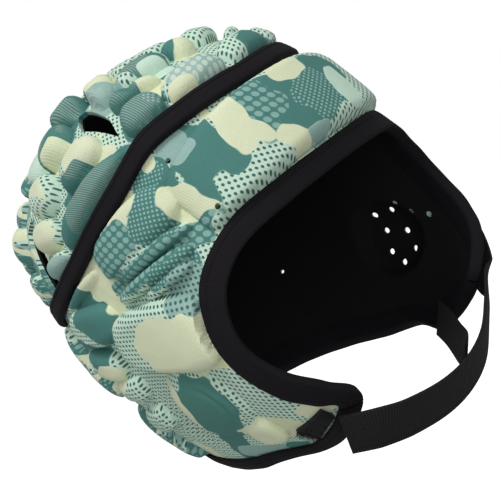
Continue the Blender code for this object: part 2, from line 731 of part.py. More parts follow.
clear_scene()
MADE = make_materials()

CROWN_TAPE_EDGE = [flat_crown(*place) for place in tape_side(PAD_TO_TAPE)]
WRAP_TAPE_EDGE = [flat_wrap(*place) for place in tape_side(-PAD_TO_TAPE)]
panels(
    "crown", CROWN_LOOP, VENT_LOOPS, CROWN_TAPE_EDGE, pad_rings(CROWN_FRAMES),
    lambda az, el: tape_fade(az, el) * vent_fade(az, el), crown_level, flat_crown, round_crown,
)
panels(
    "wrap", WRAP_LOOP, [], WRAP_TAPE_EDGE, pad_rings(WRAP_FRAMES) + ear_rings(),
    lambda az, el: tape_fade(az, el) * rim_fade(az, el), wrap_level, flat_wrap, round_wrap,
)
crown_tape()

brow_and_cheek = BROW_STEPS[1:] + CHEEK_STEPS[1:-1] + [TIP_ROW - BINDING_END]
binding("face_binding", [-t for t in brow_and_cheek[::-1]] + [0.0] + brow_and_cheek)
neck = [TIP_ROW + BINDING_END] + NECK_STEPS[1:9] + NECK_STEPS[10::2]
binding("neck_binding", neck + [-t for t in neck[-2::-1]])

chin_strap()
strap_inner_layer()
hook_patch()
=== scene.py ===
import math
import random

import bmesh
import bpy
import numpy as np
from mathutils import Matrix, Vector, noise
from mathutils.geometry import delaunay_2d_cdt
from mathutils.kdtree import KDTree


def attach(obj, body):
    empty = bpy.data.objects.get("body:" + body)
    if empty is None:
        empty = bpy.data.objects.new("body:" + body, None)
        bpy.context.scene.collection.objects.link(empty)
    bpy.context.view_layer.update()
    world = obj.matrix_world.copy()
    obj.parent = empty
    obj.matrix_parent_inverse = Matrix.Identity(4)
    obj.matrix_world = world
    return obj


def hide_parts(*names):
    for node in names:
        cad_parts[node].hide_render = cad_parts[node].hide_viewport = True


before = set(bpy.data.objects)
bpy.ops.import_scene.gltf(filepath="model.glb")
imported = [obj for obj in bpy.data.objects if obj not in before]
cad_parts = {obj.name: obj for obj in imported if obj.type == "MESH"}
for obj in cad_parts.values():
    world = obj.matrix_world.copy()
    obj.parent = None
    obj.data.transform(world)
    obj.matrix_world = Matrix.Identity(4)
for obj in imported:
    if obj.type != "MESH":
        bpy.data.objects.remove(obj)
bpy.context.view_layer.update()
mm = 0.001

# Head form under the padding, as half sizes from the head centre. Places on the cap are
# (az, el) in degrees as seen from that centre: az round from the face, el up from its level.
headForm = {
    "centre": Vector((0, 0, -0.1063)),
    "halfWidth": 90.6 * mm, "frontReach": 104.8 * mm, "rearReach": 103.3 * mm,
    "crownRise": 115.8 * mm, "lowerDrop": 124.9 * mm,
    "planPower": 2.3, "sidePower": 2.43,
    "mmPerDegree": 1.85,
}

# Where the cap stands out from that form: place, az, el, their spreads, rise in mm
bulges = [
    ("cheek flap", 47.4, -27, 24, 26, 22.7),
    ("back corner", 132, 12, 32, 42, 3.6),
    ("back of the crown", 144, 44, 20, 18, 9),
    ("front of the crown", 0, 66, 50, 14, -2.2),
    ("lower rim", 98, -56, 33, 16, 3),
]

# Levels of the layers from the head form
levels = {
    "liningInside": -9.5 * mm, "liningOutside": -8.5 * mm, "panelInside": -8.0 * mm, "web": -5.5 * mm,
}

tapeLine = [
    (0, 34), (14.4, 34.3), (28.2, 34.7), (41.2, 35), (55.8, 32),
    (76, 29.5), (98.1, 26), (120, 21.5), (150, 17.5), (180, 16),
]

# Free edge and panel edge at the rim of one side, from the brow round to the nape
rimTable = [
    ("brow centre", 0, -0.7, 0, 5.2),
    ("brow", 18.9, -0.9, 18.5, 5.2),
    ("brow end", 36, -1.8, 36.5, 4.4),
    ("temple corner", 46.1, -6.2, 50.5, -1.6),
    ("temple", 51.4, -13.1, 57.2, -10.8),
    ("cheek top", 52.6, -20.7, 58.9, -20.8),
    ("cheek", 49.3, -28.8, 55.3, -31.2),
    ("cheek bottom", 43.6, -36.5, 49.6, -38.3),
    ("flap tip", 39.4, -47.2, 45.8, -44.2),
    ("flap bottom", 61.5, -59.8, 64.5, -55),
    ("below the ear", 85.7, -56.9, 84.6, -53),
    ("behind the ear", 112.1, -52.9, 109.7, -48.3),
    ("nape side", 149.4, -41.5, 147, -35.6),
    ("nape", 180, -36, 180, -30),
]
freeEdge = [(row[1], row[2]) for row in rimTable]
panelEdge = [(row[3], row[4]) for row in rimTable]
flapTip = 8


def directions(az, el):
    a, e = np.radians(az), np.radians(el)
    return np.stack([np.sin(a) * np.cos(e), -np.cos(a) * np.cos(e), np.sin(e)], axis=-1)


def headRadius(unit):
    f = headForm
    length = np.where(unit[..., 1] < 0, f["frontReach"], f["rearReach"])
    height = np.where(unit[..., 2] > 0, f["crownRise"], f["lowerDrop"])
    across, along = abs(unit[..., 0]) / f["halfWidth"], abs(unit[..., 1]) / length
    plan = across ** f["planPower"] + along ** f["planPower"]
    level = plan ** (f["sidePower"] / f["planPower"]) + (abs(unit[..., 2]) / height) ** f["sidePower"]
    az = np.degrees(np.arctan2(abs(unit[..., 0]), -unit[..., 1]))
    el = np.degrees(np.arcsin(np.clip(unit[..., 2], -1, 1)))
    radius = level ** (-1 / f["sidePower"])
    for name, bulgeAz, bulgeEl, azSpread, elSpread, rise in bulges:
        off = ((az - bulgeAz) / azSpread) ** 2 + ((el - bulgeEl) / elSpread) ** 2
        radius = radius + rise * mm * np.exp(-off)
    return radius


def surface(az, el, level):
    az, el = np.asarray(az, float), np.asarray(el, float)
    unit = directions(az, el)
    reach = headRadius(unit) + level
    return np.array(headForm["centre"]) + unit * reach[..., None]


def surfaceNormal(az, el):
    across = surface(az + 0.5, el, 0) - surface(az - 0.5, el, 0)
    up = surface(az, el + 0.5, 0) - surface(az, el - 0.5, 0)
    normal = np.cross(across, up)
    return normal / np.linalg.norm(normal, axis=-1, keepdims=True)


def ramp(value, start, length):
    t = np.clip((value - start) / length, 0, 1)
    return t * t * (3 - 2 * t)


def curveAt(points, t):
    # Catmull-Rom curve through the points, t counted in points
    p = np.asarray(points, float)
    p = np.concatenate([[2 * p[0] - p[1]], p, [2 * p[-1] - p[-2]]])
    t = np.asarray(t, float)
    k = np.clip(t.astype(int), 0, len(points) - 2)
    f = (t - k)[..., None]
    a, b, c, d = p[k], p[k + 1], p[k + 2], p[k + 3]
    bend, twist = 2 * a - 5 * b + 4 * c - d, 3 * b - a - 3 * c + d
    return 0.5 * (2 * b + (c - a) * f + bend * f ** 2 + twist * f ** 3)


def travelled(line):
    return np.concatenate([[0], np.cumsum(np.linalg.norm(np.diff(line, axis=0), axis=1))])


def evenSteps(points, start, end, spacing):
    # curve positions about one spacing apart on the head form
    t = np.linspace(start, end, 2000)
    places = curveAt(points, t)
    length = travelled(surface(places[:, 0], places[:, 1], 0))
    count = max(2, round(length[-1] / spacing))
    return np.interp(np.linspace(0, length[-1], count + 1), length, t)


tapeFine = curveAt(tapeLine, np.linspace(0, len(tapeLine) - 1, 400))


def tapeEl(az):
    return np.interp(np.abs(az), tapeFine[:, 0], tapeFine[:, 1])


# Pads of one side, mirrored on the other unless az is 0 or 180: name, az, el, half length (along
# az) and half height in mm, tilt in degrees (back end up), power 2 for an oval and 4 for nearly
# square, and height in mm
wrapPads = [
    ("forehead", 0, 18.6, 72, 22, 0, 6, 9.5),
    ("temple", 62, 21, 31, 12.5, 0, 3, 8),
    ("upper_finger", 60, 12.9, 27, 4, 5, 3, 7),
    ("middle_finger", 65, 8.3, 29, 4.6, 5, 3, 8.5),
    ("lower_finger", 61, 3.9, 18, 3.6, 3, 3, 6.5),
    ("cheekbone", 76, -6.5, 36, 18.5, 16, 2.8, 10),
    ("flap", 73.5, -43, 10.5, 11, 0, 3, 6),
    ("below_tape", 100, 21, 24, 3.6, -8, 3, 4),
    ("back_1", 103, 9.5, 22, 12, 12, 3, 7.5),
    ("back_2", 113, -2, 16, 9.5, 30, 3, 7.5),
    ("back_3", 111.5, -13, 13, 8, 20, 3, 6.5),
    ("back_4", 115, -25, 13, 9, 10, 3, 6),
    ("behind_upper", 132.5, 2.2, 26.5, 9, 82, 3.5, 7.5),
    ("behind_lower", 131.5, -29.8, 24.5, 10, 85, 3.5, 6.2),
    ("back_1b", 153, 8.5, 19, 9, 0, 3.5, 7.5),
    ("back_2b", 153.5, -3.5, 19, 9, 0, 3.5, 7.5),
    ("back_3b", 153.5, -15, 18, 8.5, 0, 3.5, 7.5),
    ("back_4b", 153, -26.5, 16.5, 8, 0, 3.5, 7),
    ("nape_1", 180, 6, 17.5, 9.5, 0, 3.5, 7.5),
    ("nape_2", 180, -6, 17.5, 9.5, 0, 3.5, 7.5),
    ("nape_3", 180, -18, 17, 9.5, 0, 3.5, 7),
]
crownPads = [
    ("front", 13.5, 42, 19.5, 9, 0, 3, 8),
    ("front_corner", 35, 42.5, 12.5, 9.5, 12, 2.6, 8.2),
    ("small_front", 37, 51, 8, 5, 20, 2.3, 8),
    ("small_roll", 28, 50, 10, 3.8, 15, 2.5, 6.5),
    ("second_row", 21, 57.5, 16, 9.5, 8, 2.6, 8.2),
    ("middle_front", 0, 56, 8, 10, 0, 2.4, 8.5),
    ("above_front_vent", 43.5, 61.5, 12, 8.5, 62, 2.5, 9),
    ("upper_row", 14, 69.5, 12, 10, 0, 2.4, 7),
    ("front_top", 44, 76.5, 9.5, 10, 0, 2.4, 8.5),
    ("middle_top", 0, 81.5, 10.5, 11, 0, 2.4, 7.5),
    ("top_side", 86, 74, 12, 10.5, 0, 2.5, 12),
    ("side_upper", 85, 61.5, 14, 11, 0, 2.5, 10.5),
    ("side_middle", 66, 47.3, 17, 9, -5, 2.6, 9),
    ("side_sausage", 70, 37.3, 33.5, 7.2, -5, 3.2, 8.5),
    ("side_back", 96.5, 50, 14.5, 11, 0, 2.5, 9.5),
    ("side_back_low", 101.5, 40, 13, 8.5, 0, 2.6, 8.5),
    ("vent_corner", 102, 31.3, 13, 5.2, -8, 2.8, 7),
    ("back_upper", 116, 61.5, 12.5, 11, 0, 2.5, 8),
    ("top_pair", 122, 84, 10, 10, 0, 2.4, 8),
    ("back_top", 162, 73.5, 11, 10.5, 0, 2.4, 8.5),
    ("back_top_side", 125, 73, 11, 10, 0, 2.4, 8.5),
    ("back_row_1", 180, 61.5, 10.5, 10.5, 0, 2.5, 8.5),
    ("back_row_1", 156, 61, 11.5, 10.5, 0, 2.5, 8.5),
    ("back_row_1", 136, 57.5, 10.5, 8.5, 0, 2.5, 8),
    ("back_row_2", 169.5, 49.5, 11.5, 11, 0, 2.6, 8.5),
    ("back_row_2", 150.5, 47.5, 12, 10.5, 0, 2.6, 10),
    ("back_row_3", 180, 38, 11, 10.5, 0, 2.6, 8.5),
    ("back_row_3", 165, 37.5, 11.5, 10.5, 0, 2.6, 8.5),
    ("back_row_3", 149.5, 35, 11.5, 10, 0, 2.6, 11.5),
    ("vent_back_high", 138, 40.5, 7.5, 12, 12, 2.6, 9),
    ("back_row_4", 172.5, 26.5, 12, 10, 0, 2.6, 8.5),
    ("back_row_4", 157.5, 25.5, 12, 9.5, 0, 2.6, 8.5),
    ("back_row_4", 143.5, 26, 10, 8.5, 0, 2.6, 8),
    ("vent_back_low", 131.5, 29.5, 7, 8.5, 15, 2.6, 6.5),
]
# Dome over each ear in mm, with two crescent folds on its lower front. The inner layers follow its
# cloth there, so that it is hollow
earDome = {
    "az": 82.5, "el": -29.5, "radius": 25, "height": 8.0, "sidePower": 3, "topPower": 0.7,
    "folds": (14, 19.5), "foldWidth": 1.5, "foldDepth": 1.1, "foldAz": 30, "foldEl": -35,
    "foldFrom": -4, "foldRamp": 12, "foldAbove": 1, "hollowFrom": 19, "hollowRamp": 5,
    "cloth": 0.5 * mm, "liningOutside": 0.35 * mm, "liningInside": 1.1 * mm,
}
padRounding = 6.5  # mm over which a pad's top curves down to its edge
sameSide = 0.6  # cosine of the angle beyond which a pad is not looked at

crownVents = [
    [(71, 70.5), (62, 58), (46, 43.5), (45.5, 51), (60, 68)],
    [(124, 48.5), (113, 36), (110.5, 27), (121, 24.8), (130.5, 44)],
]

# Air holes: those of the left side mirrored on the right, and those of the left ear alone,
# because the right ear has none
airHoles = {
    "mirroredRadius": 1.4, "leftEarRadius": 1.8,
    "mirrored": [(38.5, 28), (36.5, 9), (133, -14.2)],
    "leftEar": [
        (85.5, -20), (78.5, -21.3), (71, -21), (68, -25.5), (63, -28), (86, -26),
        (78.5, -29), (70.5, -32), (89, -32.5), (85.5, -37.3), (78.5, -35),
    ],
}


def tiltedAxes(az, el, tilt, side=1):
    # middle, long and short axis of a pad or patch, and how far from the head centre it is in mm
    centre = directions(az, el)
    a, turn = math.radians(az), math.radians(tilt)
    along = np.array([math.cos(a), math.sin(a), 0]) * side
    up = np.cross(centre, along)
    up = up if up[2] >= 0 else -up
    longAxis = along * math.cos(turn) + up * math.sin(turn)
    shortAxis = up * math.cos(turn) - along * math.sin(turn)
    return centre, longAxis, shortAxis, float(headRadius(centre)) / mm


def padFrames(pads):
    frames = []
    for name, az, el, halfLength, halfHeight, tilt, power, height in pads:
        for side in ((1,) if az in (0, 180) else (1, -1)):
            frames.append((*tiltedAxes(side * az, el, tilt, side), halfLength, halfHeight, power, height))
    return frames


def padHeights(unit, frames):
    # height of the padding above the web, in mm
    best = np.zeros(len(unit))
    for centre, longAxis, shortAxis, reach, halfLength, halfHeight, power, height in frames:
        near = np.nonzero(unit @ centre > sameSide)[0]
        u = abs(unit[near] @ longAxis) * reach / halfLength
        v = abs(unit[near] @ shortAxis) * reach / halfHeight
        f = (u ** power + v ** power) ** (1 / power)
        small = min(halfLength, halfHeight)
        q = np.clip((1 - f) * small / min(padRounding, small), 0, 1)
        crowned = height * np.sqrt(1 - (1 - q) ** 2)
        best[near] = np.maximum(best[near], crowned)
    return best


def earDistance(unit, side):
    # mm from the middle of the ear, and how far forward and down from it
    d = earDome
    centre = directions(side * d["az"], d["el"])
    offset = (unit - np.outer(unit @ centre, centre)) * float(headRadius(centre)) / mm
    distance = np.where(unit @ centre > sameSide, np.linalg.norm(offset, axis=1), 99)
    return distance, offset @ directions(side * d["foldAz"], d["foldEl"])


def earHeights(unit):
    d = earDome
    best = np.zeros(len(unit))
    for side in (1, -1):
        distance, forward = earDistance(unit, side)
        dome = d["height"] * np.clip(1 - (distance / d["radius"]) ** d["sidePower"], 0, 1) ** d["topPower"]
        depth = d["foldDepth"] * ramp(forward, d["foldFrom"], d["foldRamp"]) * (dome > d["foldAbove"])
        for place in d["folds"]:
            dome = dome - depth * np.exp(-((distance - place) / d["foldWidth"]) ** 2)
        best = np.maximum(best, dome)
    return best


def padRing(row, inset, spacing):
    centre, longAxis, shortAxis, reach, halfLength, halfHeight, power, height = row
    stage = 1 - inset / min(halfLength, halfHeight)
    roundSum = 3.3  # length of the outline over the sum of its half sizes
    count = max(12, round(roundSum * stage * (halfLength + halfHeight) / spacing))
    turn = np.arange(count) * 2 * math.pi / count
    c, s = np.cos(turn), np.sin(turn)
    u = stage * halfLength * np.sign(c) * abs(c) ** (2 / power) / reach
    v = stage * halfHeight * np.sign(s) * abs(s) ** (2 / power) / reach
    unit = u[:, None] * longAxis + v[:, None] * shortAxis + np.sqrt(1 - u ** 2 - v ** 2)[:, None] * centre
    return np.degrees(np.arctan2(unit[:, 0], -unit[:, 1])), np.degrees(np.arcsin(unit[:, 2]))


def flatWrap(az, el):
    az = np.asarray(az, float)
    return np.stack([np.where(az < -90, az + 360, az), np.broadcast_to(el, az.shape)], axis=-1)


def roundWrap(points):
    return points[:, 0], points[:, 1]


def flatCrown(az, el):
    a = np.radians(az)
    return np.stack([(90 - el) * np.sin(a), -(90 - el) * np.cos(a)], axis=-1)


def roundCrown(points):
    return np.degrees(np.arctan2(points[:, 0], -points[:, 1])), 90 - np.linalg.norm(points, axis=1)


def isInside(points, loop):
    inside = np.zeros(len(points), bool)
    for a, b in zip(loop, np.roll(loop, -1, axis=0)):
        if a[1] == b[1]:
            continue
        crosses = (a[1] > points[:, 1]) != (b[1] > points[:, 1])
        at = a[0] + (b[0] - a[0]) * (points[:, 1] - a[1]) / (b[1] - a[1])
        inside ^= crosses & (points[:, 0] < at)
    return inside


def loopDistance(points, loop):
    best = np.full(len(points), 1e9)
    for a, b in zip(loop, np.roll(loop, -1, axis=0)):
        along = b - a
        t = np.clip((points - a) @ along / max(along @ along, 1e-12), 0, 1)
        best = np.minimum(best, np.linalg.norm(points - a - t[:, None] * along, axis=1))
    return best


def fineLoop(corners, spacing):
    corners = np.asarray(corners, float)
    places = []
    for a, b in zip(corners, np.roll(corners, -1, axis=0)):
        count = max(1, round(np.linalg.norm(b - a) / spacing))
        places.extend(a + (b - a) * k / count for k in range(count))
    return np.array(places)


def lineBetween(a, b, step):
    # points between two corners, without the corners
    count = max(1, round(np.linalg.norm(b - a) / step))
    return np.array([a + (b - a) * k / count for k in range(1, count)]).reshape(-1, 2)


def holeLoop(az, el, radius):
    turn = np.arange(12) * math.pi / 6
    scale = radius / headForm["mmPerDegree"]
    across = scale / math.cos(math.radians(el))
    return np.stack([az + across * np.cos(turn), el + scale * np.sin(turn)], axis=-1)


# Panels: spacing of the mesh in degrees, of a pad's rings in mm, and clearances of the pads in mm
panelMesh = {
    "spacing": 0.72, "plainSpacing": 1.4, "ringSpacing": 1.5, "insets": (0, 0.7, 2.2),
    "rowShare": 0.866, "freeShare": 0.55, "fadedBelow": 0.02, "joinWithin": 1e-4, "middleWithin": 2e-3,
    "jointHalfGap": 0.7, "padToTape": 5.4, "padToTapeRamp": 2.4,
    "padToRim": 1.3, "padToRimRamp": 3.5, "padToVent": 1.5, "padToVentRamp": 3.0,
}


def tapeSide(offset, step):
    az = np.linspace(0, 180, round(180 / step) + 1)
    return az, tapeEl(az) + offset / headForm["mmPerDegree"]


def wrapOutline(step):
    top = flatWrap(*tapeSide(-panelMesh["jointHalfGap"], step))
    steps = evenSteps(panelEdge, 0, len(panelEdge) - 1, step * headForm["mmPerDegree"] * mm)
    rim = curveAt(panelEdge, steps)[::-1]
    back, front = lineBetween(top[-1], rim[0], step), lineBetween(rim[-1], top[0], step)
    return np.concatenate([top, back, rim, front])


def crownOutline(step):
    top = flatCrown(*tapeSide(panelMesh["jointHalfGap"], step))
    return np.concatenate([top, lineBetween(top[-1], top[0], step)])


rimPoints = curveAt(panelEdge, evenSteps(panelEdge, 0, len(panelEdge) - 1, 3 * mm))
rimXyz = surface(rimPoints[:, 0], rimPoints[:, 1], 0)
wrapLoop = wrapOutline(2)
ventLoops = [fineLoop(flatCrown(*np.array(vent).T), 2) for vent in crownVents]


def tapeFade(az, el):
    p = panelMesh
    return ramp(abs(el - tapeEl(az)) * headForm["mmPerDegree"], p["padToTape"], p["padToTapeRamp"])


def wrapFade(az, el):
    xyz = surface(abs(az), el, 0)
    distance = np.full(len(xyz), 1.0)
    for point in rimXyz:
        distance = np.minimum(distance, np.linalg.norm(xyz - point, axis=1))
    inside = isInside(flatWrap(abs(az), el), wrapLoop)
    return tapeFade(az, el) * inside * ramp(distance / mm, panelMesh["padToRim"], panelMesh["padToRimRamp"])


def crownFade(az, el):
    points = flatCrown(abs(az), el)
    fade = tapeFade(az, el) * (el > tapeEl(az))
    for loop in ventLoops:
        distance = np.where(isInside(points, loop), 0, loopDistance(points, loop)) * headForm["mmPerDegree"]
        fade = fade * ramp(distance, panelMesh["padToVent"], panelMesh["padToVentRamp"])
    return fade


# Fine relief of the cloth in mm: small uneven pulls, strongest low on the pads, and the gathered
# folds behind the ears
clothFolds = {
    "pull": 0.35, "coarse": 14, "fine": 31, "fineShare": 0.6, "fadeHeight": 4,
    "az": 104, "azSpread": 9, "el": -33, "elSpread": 11,
    "pitch": 5.2, "slant": 1.1, "sway": 0.8, "swayPerDegree": 0.35,
}


def wrinkles(unit, height):
    c = clothFolds
    pulls = []
    for u in unit:
        fine = c["fineShare"] * noise.noise(Vector(u) * c["fine"])
        pulls.append(noise.noise(Vector(u) * c["coarse"]) + fine)
    return c["pull"] * np.array(pulls) * (0.5 + 0.5 * np.exp(-height / c["fadeHeight"]))


def gathers(az, el):
    c = clothFolds
    off = ((abs(az) - c["az"]) / c["azSpread"]) ** 2 + ((el - c["el"]) / c["elSpread"]) ** 2
    travel = el * headForm["mmPerDegree"] + abs(az) * c["slant"]
    sway = c["sway"] * np.sin(abs(az) * c["swayPerDegree"])
    return np.sin(travel * 2 * math.pi / c["pitch"] + sway) * np.exp(-off)


def wrapLevel(az, el):
    unit = directions(az, el)
    fade = wrapFade(az, el)
    height = np.maximum(padHeights(unit, wrapFrames), earHeights(unit)) * fade
    return levels["web"] + (height + (wrinkles(unit, height) + gathers(az, el)) * fade) * mm


def crownLevel(az, el):
    unit = directions(az, el)
    fade = crownFade(az, el)
    height = padHeights(unit, crownFrames) * fade
    return levels["web"] + (height + wrinkles(unit, height) * fade) * mm


wrapFrames = padFrames(wrapPads)
crownFrames = padFrames(crownPads)


def halfMesh(outline, holes, leftHoles, lines, frames, fade, toFlat, toRound, spacing):
    # triangles over the left half of a panel, as places (n, 2) and corner numbers (m, 3), and the
    # triangles that close the last holes on the right, where only the left has them
    points, edges = [], []

    def addLine(line, closed):
        first = len(points)
        points.extend(line)
        edges.extend((k, k + 1) for k in range(first, len(points) - 1))
        if closed:
            edges.append((len(points) - 1, first))

    for loop in [outline] + holes:
        addLine(loop, True)
    for line in lines:
        addLine(line, False)
    for row in frames:
        if row[0][0] < -1e-6:
            continue
        for inset in panelMesh["insets"]:
            az, el = padRing(row, inset, panelMesh["ringSpacing"])
            kept = fade(az, el) > panelMesh["fadedBelow"]
            ring = toFlat(az, el)
            for k in range(len(ring)):
                n = (k + 1) % len(ring)
                if kept[k]:
                    points.append(ring[k])
                    if inset == 0 and kept[n]:
                        points.append(ring[n])
                        edges.append((len(points) - 2, len(points) - 1))
    fixed = np.array(points)
    low, high = outline.min(axis=0), outline.max(axis=0)
    rows = np.arange(low[1], high[1], spacing * panelMesh["rowShare"])
    columns = np.arange(low[0], high[0], spacing)
    grid = np.array([(x + spacing * 0.5 * (j % 2), y) for j, y in enumerate(rows) for x in columns])
    grid = grid[isInside(grid, outline)]
    for hole in holes:
        grid = grid[~isInside(grid, hole)]
    tree = KDTree(len(fixed))
    for k, point in enumerate(fixed):
        tree.insert((point[0], point[1], 0), k)
    tree.balance()
    clear = panelMesh["freeShare"] * spacing
    free = [p for p in grid if tree.find((p[0], p[1], 0))[2] > clear]
    corners = [Vector(p) for p in points + free]
    flat, _, faces, *_ = delaunay_2d_cdt(corners, edges, [], 0, panelMesh["joinWithin"])
    flat, faces = np.array(flat), np.array(faces)
    middles = flat[faces].mean(axis=1)
    kept = isInside(middles, outline)
    plugs = np.zeros(len(faces), bool)
    for k, hole in enumerate(holes):
        inHole = isInside(middles, hole)
        kept &= ~inHole
        if k >= len(holes) - leftHoles:
            plugs |= inHole
    return np.stack(toRound(flat), axis=-1), faces[kept], faces[plugs]


def newPiece(name, mesh, sharpFrom):
    # smooth-shaded object, with edges sharp from an angle in degrees
    mesh.shade_smooth()
    mesh.set_sharp_from_angle(angle=math.radians(sharpFrom))
    piece = bpy.data.objects.new(name, mesh)
    bpy.context.collection.objects.link(piece)
    return piece


def shellPiece(name, layers):
    # closed shell from an outer and an inner layer, each (places, triangles, those of the right
    # alone, level), with their mirror
    verts, faces, places, keys = [], [], [], {}
    for layer, (flat, triangles, rightOnly, level) in enumerate(layers):
        middle = abs(np.sin(np.radians(flat[:, 0]))) * (90 - flat[:, 1]) < panelMesh["middleWithin"]
        used = np.unique(triangles)
        for side in (1, -1):
            xyz = surface(side * flat[:, 0], flat[:, 1], level(side * flat[:, 0], flat[:, 1]))
            number = np.zeros(len(flat), int)
            for k in used:
                az, el = flat[k]
                key = (layer, 0 if middle[k] else side, round(az * (90 - el), 1), round(el, 3))
                if key not in keys:
                    keys[key] = len(verts)
                    verts.append(xyz[k])
                    places.append((side * az, el))
                number[k] = keys[key]
            here = triangles if side > 0 else np.concatenate([triangles, rightOnly])
            for triangle in here:
                if not middle[triangle].all():
                    corners = number[triangle]
                    faces.append(corners[::-1] if (side < 0) != (layer > 0) else corners)
    partner = {number: keys.get((1,) + key[1:]) for key, number in keys.items() if key[0] == 0}
    seen = set()
    for face in faces:
        for k in range(3):
            seen.add((int(face[k]), int(face[(k + 1) % 3])))
    walls = []
    for a, b in seen:
        if (b, a) not in seen and a in partner:
            walls.append((b, a, partner[a], partner[b]))
    walls.sort()
    mesh = bpy.data.meshes.new(name)
    faces = [tuple(int(corner) for corner in face) for face in faces]
    mesh.from_pydata([tuple(v) for v in verts], [], faces + walls)
    mesh.validate()
    return newPiece(name, mesh, 60), np.array(places)


def earHollow(az, el):
    # how far the inner layers follow the cloth over the ear, from 0 to 1, and by how much
    unit = directions(az, el)
    distance = np.minimum(earDistance(unit, 1)[0], earDistance(unit, -1)[0])
    share = 1 - ramp(distance, earDome["hollowFrom"], earDome["hollowRamp"])
    return share, share * np.maximum(wrapLevel(az, el) - earDome["cloth"] - levels["panelInside"], 0)


def innerLevel(level, closer=0):
    # level of an inner layer, closer to the cloth by so much over the ear
    def place(az, el):
        share, lift = earHollow(az, el)
        return level + lift + share * closer

    return place


def buildPanels(part, outlineAt, holesAt, leftHoles, lineOffset, frames, fade, level, toFlat, toRound):
    spacing = panelMesh["spacing"]
    outline = outlineAt(spacing)
    holes = holesAt(spacing)
    line = toFlat(*tapeSide(lineOffset, spacing))
    padded = halfMesh(outline, holes, leftHoles, [line], frames, fade, toFlat, toRound, spacing)
    plain = halfMesh(outline, holes, leftHoles, [], [], fade, toFlat, toRound, panelMesh["plainSpacing"])
    back = innerLevel(levels["panelInside"])
    panel, places = shellPiece(part + "Padding", ((*padded, level), (*plain, back)))
    outside = innerLevel(levels["liningOutside"], earDome["liningOutside"])
    inside = innerLevel(levels["liningInside"], earDome["liningInside"])
    lining, _ = shellPiece(part + "Lining", ((*plain, outside), (*plain, inside)))
    return panel, places, lining


def setAttribute(piece, name, values):
    layer = piece.data.attributes.new(name, "FLOAT_VECTOR", "POINT")
    layer.data.foreach_set("vector", np.asarray(values, dtype=np.float32).ravel())


def strip(name, rings, closed, length, width):
    # skin through rings of points (n, m, 3), with place = (mm along, mm round the section)
    n, m = rings.shape[:2]
    verts = rings.reshape(-1, 3)
    faces = []
    for i in range(n if closed else n - 1):
        j = (i + 1) % n
        for k in range(m):
            l = (k + 1) % m
            faces.append((i * m + k, i * m + l, j * m + l, j * m + k))
    if not closed:
        faces.append(tuple(range(m))[::-1])
        faces.append(tuple((n - 1) * m + k for k in range(m)))
    mesh = bpy.data.meshes.new(name)
    mesh.from_pydata([tuple(v) for v in verts], [], faces)
    shell = bmesh.new()
    shell.from_mesh(mesh)
    bmesh.ops.recalc_face_normals(shell, faces=shell.faces)
    shell.to_mesh(mesh)
    shell.free()
    piece = newPiece(name, mesh, 50)
    along = np.repeat(length, m)
    across = np.tile(width, n)
    setAttribute(piece, "place", np.stack([along, across, np.zeros(n * m)], axis=-1))
    return piece


def roundedSection(corners, radius):
    # section corners with rounded turns, as (across, level)
    corners = np.asarray(corners, float)
    points = []
    for k in range(len(corners)):
        a, b, c = corners[k - 1], corners[k], corners[(k + 1) % len(corners)]
        into, out = a - b, c - b
        r = min(radius, 0.45 * np.linalg.norm(into), 0.45 * np.linalg.norm(out))
        start = b + into / np.linalg.norm(into) * r
        end = b + out / np.linalg.norm(out) * r
        for t in (0, 0.33, 0.67, 1):
            points.append((1 - t) ** 2 * start + 2 * t * (1 - t) * b + t ** 2 * end)
    return np.array(points)


def rippleAlong(shape, length):
    first, second = shape["rippleLengths"]
    return shape["ripple"] * np.sin(length / first) * np.sin(length / second + shape["rippleShift"])


# Crown tape: section as (mm up from the seam, level in mm), with a fold line on the side of the crown
tapeShape = {
    "stations": 420, "rounding": 0.5,
    "section": [
        (5, -4.7), (5, -1.5), (3.8, -0.9), (2.55, -0.9), (2.1, -1.45), (1.65, -0.8), (-4, -0.9), (-5, -1.6),
        (-5, -4.7),
    ],
    "ripple": 0.12, "rippleLengths": (4.1, 11), "rippleShift": 0, "rippleAbove": -2,
}


def crownTape():
    t = tapeShape
    az = np.linspace(-180, 180, t["stations"] + 1)[:-1]
    el = tapeEl(az)
    section = roundedSection(t["section"], t["rounding"])
    length = travelled(surface(az, el, 0)) / mm
    ripple = rippleAlong(t, length)
    rings = []
    for across, level in section:
        lift = level + (ripple if level > t["rippleAbove"] else 0)
        rings.append(surface(az, el + across / headForm["mmPerDegree"], lift * mm))
    return strip("crownTapeCloth", np.stack(rings, axis=1), True, length, travelled(section))


# Rim binding: folded tape round the edge, as (0 at the panel to 1 at the free edge, level in mm)
bindingShape = {
    "spacing": 1.6 * mm, "endGap": 0.03, "acrossMm": 10, "rounding": 0.6,
    "ripple": 0.18, "rippleLengths": (3.7, 13), "rippleShift": 1, "rippleAbove": -6,
    "section": [
        (-0.12, -10.0), (0.9, -10.0), (1.0, -8.6), (1.0, -4.6), (0.93, -3.2), (0.26, -2.9), (0.22, -3.35),
        (0.17, -2.9), (-0.08, -3.3), (-0.12, -4.0), (-0.12, -4.9), (0.04, -4.9), (0.04, -9.7), (-0.12, -9.7),
    ],
}


